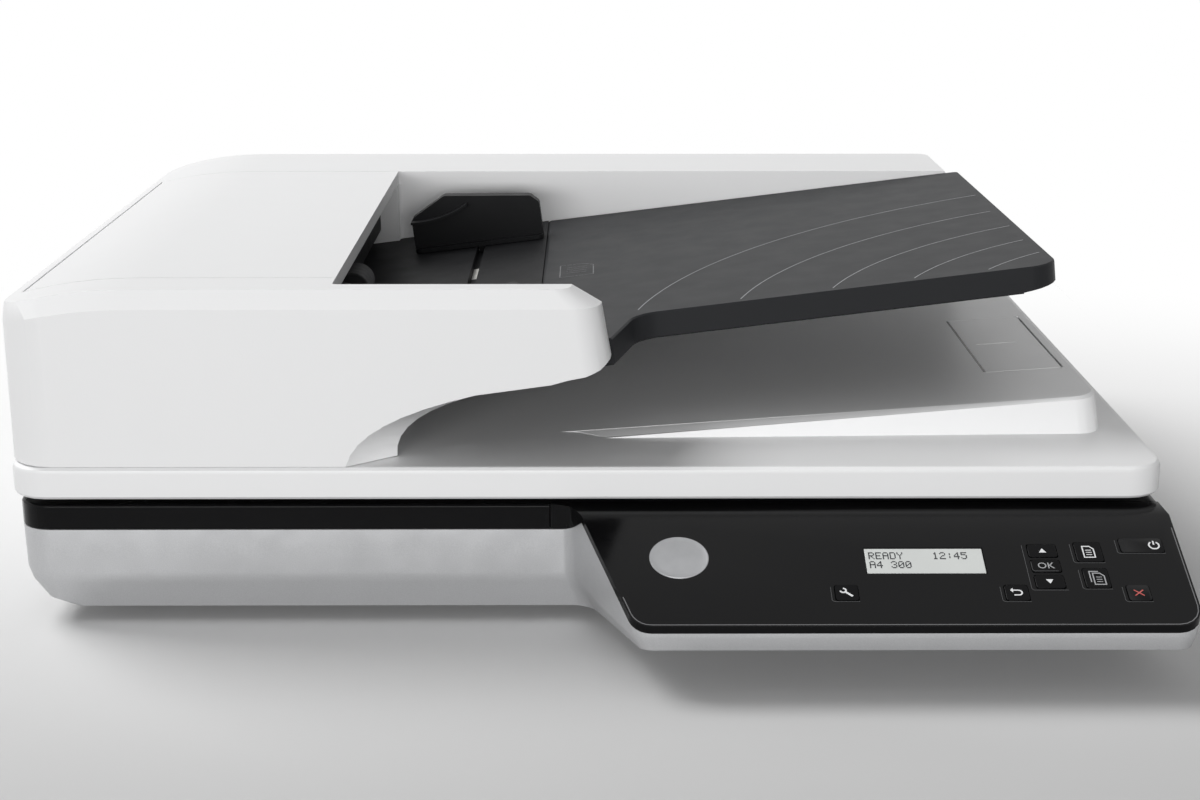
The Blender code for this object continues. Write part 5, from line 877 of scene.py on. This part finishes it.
def edge_keys():
    """Painted highlights on the rims round the lone keys, one tall rim round the arrow keys and one round the OK
    key.
    """
    panel = panel_matrix(0, 0)
    bm = bmesh.new()
    for name in LONE_KEYS:
        face, half_x, half_y = key_face(name)
        middle = panel.inverted() @ face.translation
        half_x, half_y = half_x + KEY_EDGE, half_y + KEY_EDGE
        draw_edge(bm, middle.x - half_x, middle.x + half_x, middle.y - half_y, middle.y + half_y)
    ok_face, ok_half_x, ok_half_y = key_face("key_ok")
    up_face, _, up_half_y = key_face("key_up")
    top = panel.inverted() @ up_face.translation
    bottom = panel.inverted() @ key_face("key_down")[0].translation
    half_x, half_y = ok_half_x + GROUP_MARGIN, up_half_y + GROUP_MARGIN
    draw_edge(bm, top.x - half_x, top.x + half_x, bottom.y - half_y, top.y + half_y)
    # painted highlights on the rims of the keys' wells
    place_piece("key_rim_highlights", bm, "painted_key_highlight", "base", panel)
    bm = bmesh.new()
    half_x = ok_half_x * OK_BOX_SHARE
    draw_edge(bm, -half_x, half_x, -ok_half_y * OK_BOX_SHARE, ok_half_y)
    place_piece("key_ok_rim_highlight", bm, "painted_key_highlight", "key_ok", ok_face)


def fill_display():
    """Words on the display as square dots, one mesh for both lines."""
    face, half_x, half_y = key_face("display_window")
    face = face @ Matrix.Translation((-half_x, half_y, 0))
    bm = bmesh.new()
    for row, words in enumerate(DISPLAY_LINES):
        for column, letter in enumerate(words):
            for y, dots in enumerate(LETTERS[letter].split()):
                for x, dot in enumerate(dots):
                    if dot == "0":
                        continue
                    left = TEXT_LEFT + (column * LETTER_DOTS + x) * DOT_PITCH_X
                    top = -TEXT_TOP - (row * LINE_DOTS + y) * DOT_PITCH_Y
                    right, bottom = left + DOT_PITCH_X * DOT_SHARE, top - DOT_PITCH_Y * DOT_SHARE
                    patch(bm, [(left, bottom), (right, bottom), (right, top), (left, top)])
    place_piece("display_dots", bm, "dark_dot", "base", face)


def add_badge():
    """A bare round badge, slightly domed, with a fine rim."""
    profile = [(BADGE_RADIUS * out, BADGE_RISE * up) for out, up in BADGE_RIM_SHARES]
    for step in range(1, BADGE_DOME_STEPS + 1):
        share = 1 - step / BADGE_DOME_STEPS
        rise = BADGE_RISE * (1 - BADGE_DROP_SHARE * share**2)
        profile.append((BADGE_RADIUS * BADGE_DOME_SHARE * share, rise))
    place = panel_matrix(BADGE_X, BADGE_DOWN)
    place_piece("badge_disc", turned(profile, BADGE_SIDES), "badge", "base", place)


def tray_artwork():
    """Plain rings that widen from the tray's front corner, and a sheet symbol."""
    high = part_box("input_tray")[1]
    length = (high.x - TRAY_AXIS.x) / math.cos(TRAY_SLOPE) - TRAY_MARGIN
    front, back = TRAY_FRONT + TRAY_MARGIN, high.y - TRAY_MARGIN
    bm = bmesh.new()
    for radius in RIPPLE_RADII:
        run = []
        for degrees in RIPPLE_ANGLES:
            angle = math.radians(degrees)
            x = RIPPLE_CENTRE[0] + radius * math.cos(angle)
            y = RIPPLE_CENTRE[1] + radius * math.sin(angle)
            if TRAY_MARGIN < x < length and front < y < back:
                run.append((x, y))
        if len(run) > 2:
            ribbon(bm, run, TRAY_LINE)
    place_piece("tray_rings", bm, "line_ink", "input_tray", tray_matrix(0, 0))
    bm = bmesh.new()
    x, y = SHEET_MARK_WIDTH / 2, SHEET_MARK_DEPTH / 2
    fold = [(x, y - SHEET_MARK_FOLD), (x - SHEET_MARK_FOLD, y)]
    ribbon(bm, [(-x, -y), (x, -y), *fold, (-x, y)], TRAY_LINE, closed=True)
    for share in SHEET_MARK_LINE_SHARES:
        ends = [(-SHEET_MARK_INNER_HALF, y * share), (SHEET_MARK_INNER_HALF, y * share)]
        ribbon(bm, ends, TRAY_LINE)
    place = tray_matrix(*SHEET_MARK_PLACE)
    place_piece("sheet_mark", bm, "dark_dot", "input_tray", place)


def mark_stop():
    """Painted shade in the paper stop's gap on the platform, and painted highlights on the rims of its front and
    groove.
    """
    tilt = Matrix.Rotation(-STOP_SLOPE, 4, "Y")
    place = Matrix.Translation(STOP_AXIS) @ tilt @ Matrix.Translation((0, 0, STOP_TOP))
    bm = bmesh.new()
    # painted shade: a dark strip on the platform where the stop's gap lies
    x = -STOP_LENGTH - STOP_GAP / 2 - STOP_LINE / 2
    ribbon(bm, [(x, -STOP_HALF), (x, STOP_HALF)], STOP_GAP)
    place_piece("stop_gap_shade", bm, "dark_dot", "lid", place)
    # painted highlights: pale lines along the stop's front rim and its groove
    bm = bmesh.new()
    y = -STOP_HALF - STOP_LINE
    ribbon(bm, [(-STOP_LENGTH, y), (-STOP_LINE, y)], STOP_LINE)
    place_piece("stop_rim_highlight", bm, "pale_label_and_painted_highlight", "lid", place)
    bm = bmesh.new()
    ends = [(STOP_GROOVE_START, STOP_GROOVE_Y), (STOP_GROOVE_END, STOP_GROOVE_Y)]
    ribbon(bm, ends, STOP_LINE)
    place_piece("stop_groove_highlight", bm, "pale_label_and_painted_highlight", "paper_stop", place)


def hood_outline():
    """A bent sheet seen from the front: upright, then curled to the left at its lower edge."""
    middle = (HOOD_FACE_X - HOOD_CURL, HOOD_LOW + HOOD_CURL)
    inside = HOOD_CURL - HOOD_THICKNESS
    face = arc(middle, HOOD_CURL, 0, HOOD_CURL_ANGLE, HOOD_CURL_STEPS)
    inner = arc(middle, inside, HOOD_CURL_ANGLE, 0, HOOD_CURL_STEPS)
    return [(HOOD_FACE_X, HOOD_TOP), *face, *inner, (HOOD_FACE_X - HOOD_THICKNESS, HOOD_TOP)]


def add_hood():
    """The feeder's dark mouth on both sides of the pick roller, and a pale pad on a rack."""
    bm = bmesh.new()
    for front, back in HOOD_SPANS:
        patch(bm, hood_outline(), low=-back, high=-front)
    place_piece("mouth_hood", bm, "matt", "lid", UPRIGHT)
    bm = bmesh.new()
    patch(bm, oblong(RACK_PAD_WIDTH / 2, RACK_PAD_LENGTH / 2))
    place = tray_matrix(*RACK_PAD_PLACE)
    place_piece("rack_pad", bm, "acetal", "guide_back", place)


def add_shafts():
    """A steel sleeve along each roller's axis, as long as the roller."""
    for name, radius in SHAFT_RADII.items():
        low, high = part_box(name)
        half = (high.y - low.y) / 2
        inner, outer = radius - SHAFT_SKIN, radius + SHAFT_SKIN
        profile = [(inner, -half), (outer, -half), (outer, half), (inner, half), (inner, -half)]
        place = Matrix.Translation((low + high) / 2) @ Matrix.Rotation(math.pi / 2, 4, "X")
        sleeve = turned(profile, SHAFT_SIDES)
        place_piece(name + "_shaft", sleeve, "steel", name, place)


def round_platform():
    """A soft shoulder along the platform's front, between its top edge and its steep wall."""
    bm = bmesh.new()
    rows = []
    for row in range(SHOULDER_ROWS + 1):
        share = row / SHOULDER_ROWS
        lift = SHOULDER_WAY * (SHOULDER_LIFT + SHOULDER_BULGE * math.sin(math.pi * share))
        line = []
        for step in range(SHOULDER_STEPS + 1):
            upper = PLATFORM_EDGE[0].lerp(PLATFORM_EDGE[1], step / SHOULDER_STEPS)
            lower = PLATFORM_RIDGE[0].lerp(PLATFORM_RIDGE[1], step / SHOULDER_STEPS)
            place = upper.lerp(lower, share) + lift
            under = place - Vector((0, 0, SHOULDER_SKIN))
            line.append((bm.verts.new(place), bm.verts.new(under)))
        rows.append(line)
    for first, second in zip(rows, rows[1:]):
        for corners in zip(first, first[1:], second[1:], second):
            bm.faces.new([upper for upper, under in corners])
            bm.faces.new([under for upper, under in reversed(corners)])
    for line in (rows[0], rows[-1], [row[0] for row in rows], [row[-1] for row in rows]):
        for (a, a_under), (b, b_under) in zip(line, line[1:]):
            bm.faces.new((a, a_under, b_under, b))
    place_piece("platform_shoulder", bm, "white", "lid")


def add_screws(facing_down):
    """Screws with a cross in their heads, on the flat ground of the underside."""
    reach = SCREW_RADIUS * SCREW_CROSS_SHARE
    for count, (x, y) in enumerate(SCREW_PLACES, 1):
        head = turned([(SCREW_RADIUS * out, SCREW_HEAD * up) for out, up in SCREW_SHARES], SCREW_SIDES)
        for way in (Vector((reach, 0)), Vector((0, reach))):
            low, high = SCREW_HEAD * SCREW_CROSS_LOW_SHARE, SCREW_HEAD * SCREW_CROSS_HIGH_SHARE
            ribbon(head, [-way, way], SCREW_CROSS_LINE, low=low, high=high)
        place = Matrix.Translation((x, y, 0)) @ facing_down
        place_piece(f"base_screw_{count}", head, "steel", "base", place)


def add_label(facing_down):
    """A bare label with plain lines in place of words."""
    place = Matrix.Translation((*LABEL_PLACE, 0)) @ facing_down
    x, y = LABEL_SIZE[0] / 2, LABEL_SIZE[1] / 2
    bm = bmesh.new()
    patch(bm, oblong(x, y), high=LABEL_SKIN)
    place_piece("underside_label", bm, "pale_label_and_painted_highlight", "base", place)
    bm = bmesh.new()
    border = oblong(x - LABEL_MARGIN, y - LABEL_MARGIN)
    ribbon(bm, border, LABEL_FRAME_LINE, closed=True, low=0, high=LABEL_INK)
    for count in range(LABEL_LINES):
        line_y = y - LABEL_FIRST_LINE - count * LABEL_LINE_PITCH
        end = x - LABEL_INDENT - count * LABEL_SHORTER
        ribbon(bm, [(LABEL_INDENT - x, line_y), (end, line_y)], LABEL_LINE, low=0, high=LABEL_INK)
    place_piece("underside_label_lines", bm, "dark_dot", "base", place)


def finish_underside():
    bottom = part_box("lower_housing")[0].z
    facing_down = Matrix.Translation((0, 0, bottom)) @ Matrix.Rotation(math.pi, 4, "X")
    add_screws(facing_down)
    add_label(facing_down)


def add_bosses():
    """Two low round-cornered bosses that cover the ends of the guide rod's cradles."""
    x, y = BOSS_HALF_X - BOSS_CORNER, BOSS_HALF_Y - BOSS_CORNER
    outline = []
    for turn, (way_x, way_y) in enumerate(((1, 1), (-1, 1), (-1, -1), (1, -1))):
        start = turn * 90
        outline += arc((x * way_x, y * way_y), BOSS_CORNER, start, start + 90, BOSS_CORNER_STEPS)
    rod_low, rod_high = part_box("guide_rod")
    for name, side in (("left", -1), ("right", 1)):
        bm = bmesh.new()
        patch(bm, outline, low=-BOSS_SUNK, high=BOSS_RISE)
        middle = Matrix.Translation((BOSS_X * side, (rod_low.y + rod_high.y) / 2, BOSS_Z))
        place = middle @ Matrix.Rotation(math.pi - BOSS_TILT * side, 4, "Y")
        place_piece("rod_boss_" + name, bm, "silver", "base", place)


def loop_at(node, axes, depth):
    """The widest closed loop of a node's outside at a depth under the plane of the axes."""
    bm = bmesh.new()
    bm.from_mesh(node.data)
    bmesh.ops.transform(bm, matrix=axes.inverted() @ node.matrix_world, verts=bm.verts)
    bmesh.ops.remove_doubles(bm, verts=bm.verts, dist=WELD_DISTANCE)
    cut = bmesh.ops.bisect_plane(
        bm,
        geom=bm.verts[:] + bm.edges[:] + bm.faces[:],
        plane_co=(0, 0, -depth),
        plane_no=(0, 0, 1),
    )
    edges = [item for item in cut["geom_cut"] if isinstance(item, bmesh.types.BMEdge)]
    loops = []
    while edges:
        edge = edges.pop(0)
        run = [edge.verts[0], edge.verts[1]]
        after = edge
        while after:
            after = next((item for item in run[-1].link_edges if item in edges), None)
            if after:
                edges.remove(after)
                run.append(after.other_vert(run[-1]))
        loops.append([vert.co.to_2d() for vert in run[:-1]])
    bm.free()
    return max(loops, key=lambda run: max(p.x for p in run) - min(p.x for p in run))


def rim_panel():
    """A painted highlight: a fine line along the panel's sides and front, inside its rounded edge."""
    panel = panel_matrix(0, 0)
    run = loop_at(NODES["control_panel"], panel, PANEL_RIM_DEPTH)
    start = next(i for i in range(len(run)) if run[i - 1].y > PANEL_RIM_FROM >= run[i].y)
    run = run[start:] + run[:start]
    path = [run[0]]
    for point in run[1:]:
        if point.y > PANEL_RIM_FROM:
            break
        if (point - path[-1]).length > PANEL_RIM_WIDTH:
            path.append(point)
    if path[0].x > path[-1].x:
        path.reverse()
    bm = bmesh.new()
    ribbon(bm, path, PANEL_RIM_WIDTH, aside=PANEL_RIM_INSET)
    place_piece("panel_rim", bm, "rim", "base", panel)


def make_camera():
    data = bpy.data.cameras.new("camera")
    data.lens = CAMERA_LENS
    data.sensor_width = CAMERA_SENSOR
    data.clip_start = CAMERA_NEAREST
    camera = bpy.data.objects.new("camera", data)
    camera.location = CAMERA_PLACE
    camera.rotation_euler = (math.pi / 2 - CAMERA_PITCH, 0, -CAMERA_YAW)
    bpy.context.scene.collection.objects.link(camera)
    bpy.context.scene.camera = camera


def area_light(name, place, target, size, power):
    data = bpy.data.lights.new(name, "AREA")
    data.shape = "RECTANGLE"
    data.size, data.size_y = size
    data.energy = power
    light = bpy.data.objects.new(name, data)
    light.location = place
    aim = Vector(target) - Vector(place)
    light.rotation_euler = aim.to_track_quat("-Z", "Y").to_euler()
    bpy.context.scene.collection.objects.link(light)


def seen_directly(tree):
    """One for rays from the camera and for rays in mirrors and glass, else zero."""
    path = tree.nodes.new("ShaderNodeLightPath")
    total = path.outputs["Is Camera Ray"]
    for name in ("Is Glossy Ray", "Is Transmission Ray"):
        larger = tree.nodes.new("ShaderNodeMath")
        larger.operation = "MAXIMUM"
        tree.links.new(total, larger.inputs[0])
        tree.links.new(path.outputs[name], larger.inputs[1])
        total = larger.outputs["Value"]
    return total


def make_floor():
    """A pale floor, a little darker at the front, that melts into white. Bounced light sees it grey."""
    bm = bmesh.new()
    bmesh.ops.create_circle(bm, cap_ends=True, segments=FLOOR_SIDES, radius=FLOOR_RADIUS)
    mesh = bpy.data.meshes.new("floor")
    bm.to_mesh(mesh)
    bm.free()
    floor = bpy.data.objects.new("floor", mesh)
    bpy.context.scene.collection.objects.link(floor)
    look = Look("floor", (FLOOR_FAR,) * 3, FLOOR_ROUGHNESS, specular=FLOOR_SPECULAR)
    split = look.add("ShaderNodeSeparateXYZ", {"Vector": look.place})
    fade = look.add(
        "ShaderNodeMapRange",
        {"Value": split.outputs["Y"]},
        interpolation_type="SMOOTHSTEP",
        From_Min=FLOOR_FADE_FROM,
        From_Max=FLOOR_FADE_TO,
    )
    shown = look.mix(fade.outputs["Result"], (FLOOR_NEAR,) * 3, (FLOOR_FAR,) * 3)
    direct = seen_directly(look.tree)
    look.paint(look.mix(direct, (FLOOR_BOUNCE,) * 3, shown))
    away = look.add("ShaderNodeVectorMath", {0: look.place}, operation="DISTANCE")
    away.inputs[1].default_value = HAZE_CENTRE
    haze = look.add(
        "ShaderNodeMapRange",
        {"Value": away.outputs["Value"], "To Max": direct},
        interpolation_type="SMOOTHSTEP",
        From_Min=HAZE_FROM,
        From_Max=HAZE_TO,
    )
    white = look.add("ShaderNodeEmission", Strength=BACKDROP)
    links = {0: haze.outputs["Result"], 1: look.shader.outputs["BSDF"], 2: white.outputs["Emission"]}
    look.show(look.add("ShaderNodeMixShader", links).outputs["Shader"])
    mesh.materials.append(look.material)


def make_world():
    """A white backdrop that lights the object at a lower level than it shows."""
    world = bpy.data.worlds.new("studio")
    world.use_nodes = True
    tree = world.node_tree
    background = tree.nodes["Background"]
    background.inputs["Color"].default_value = (1, 1, 1, 1)
    level = tree.nodes.new("ShaderNodeMapRange")
    level.inputs["To Min"].default_value = SKY_LIGHT
    level.inputs["To Max"].default_value = BACKDROP
    tree.links.new(seen_directly(tree), level.inputs["Value"])
    tree.links.new(level.outputs["Result"], background.inputs["Strength"])
    bpy.context.scene.world = world


def make_stage():
    make_floor()
    make_world()
    for lamp in LAMPS:
        area_light(*lamp)


make_camera()
make_stage()
dress_nodes()
print_keys()
edge_keys()
fill_display()
add_badge()
tray_artwork()
mark_stop()
add_hood()
add_shafts()
round_platform()
finish_underside()
add_bosses()
rim_panel()

bpy.context.scene.view_settings.view_transform = "Standard"
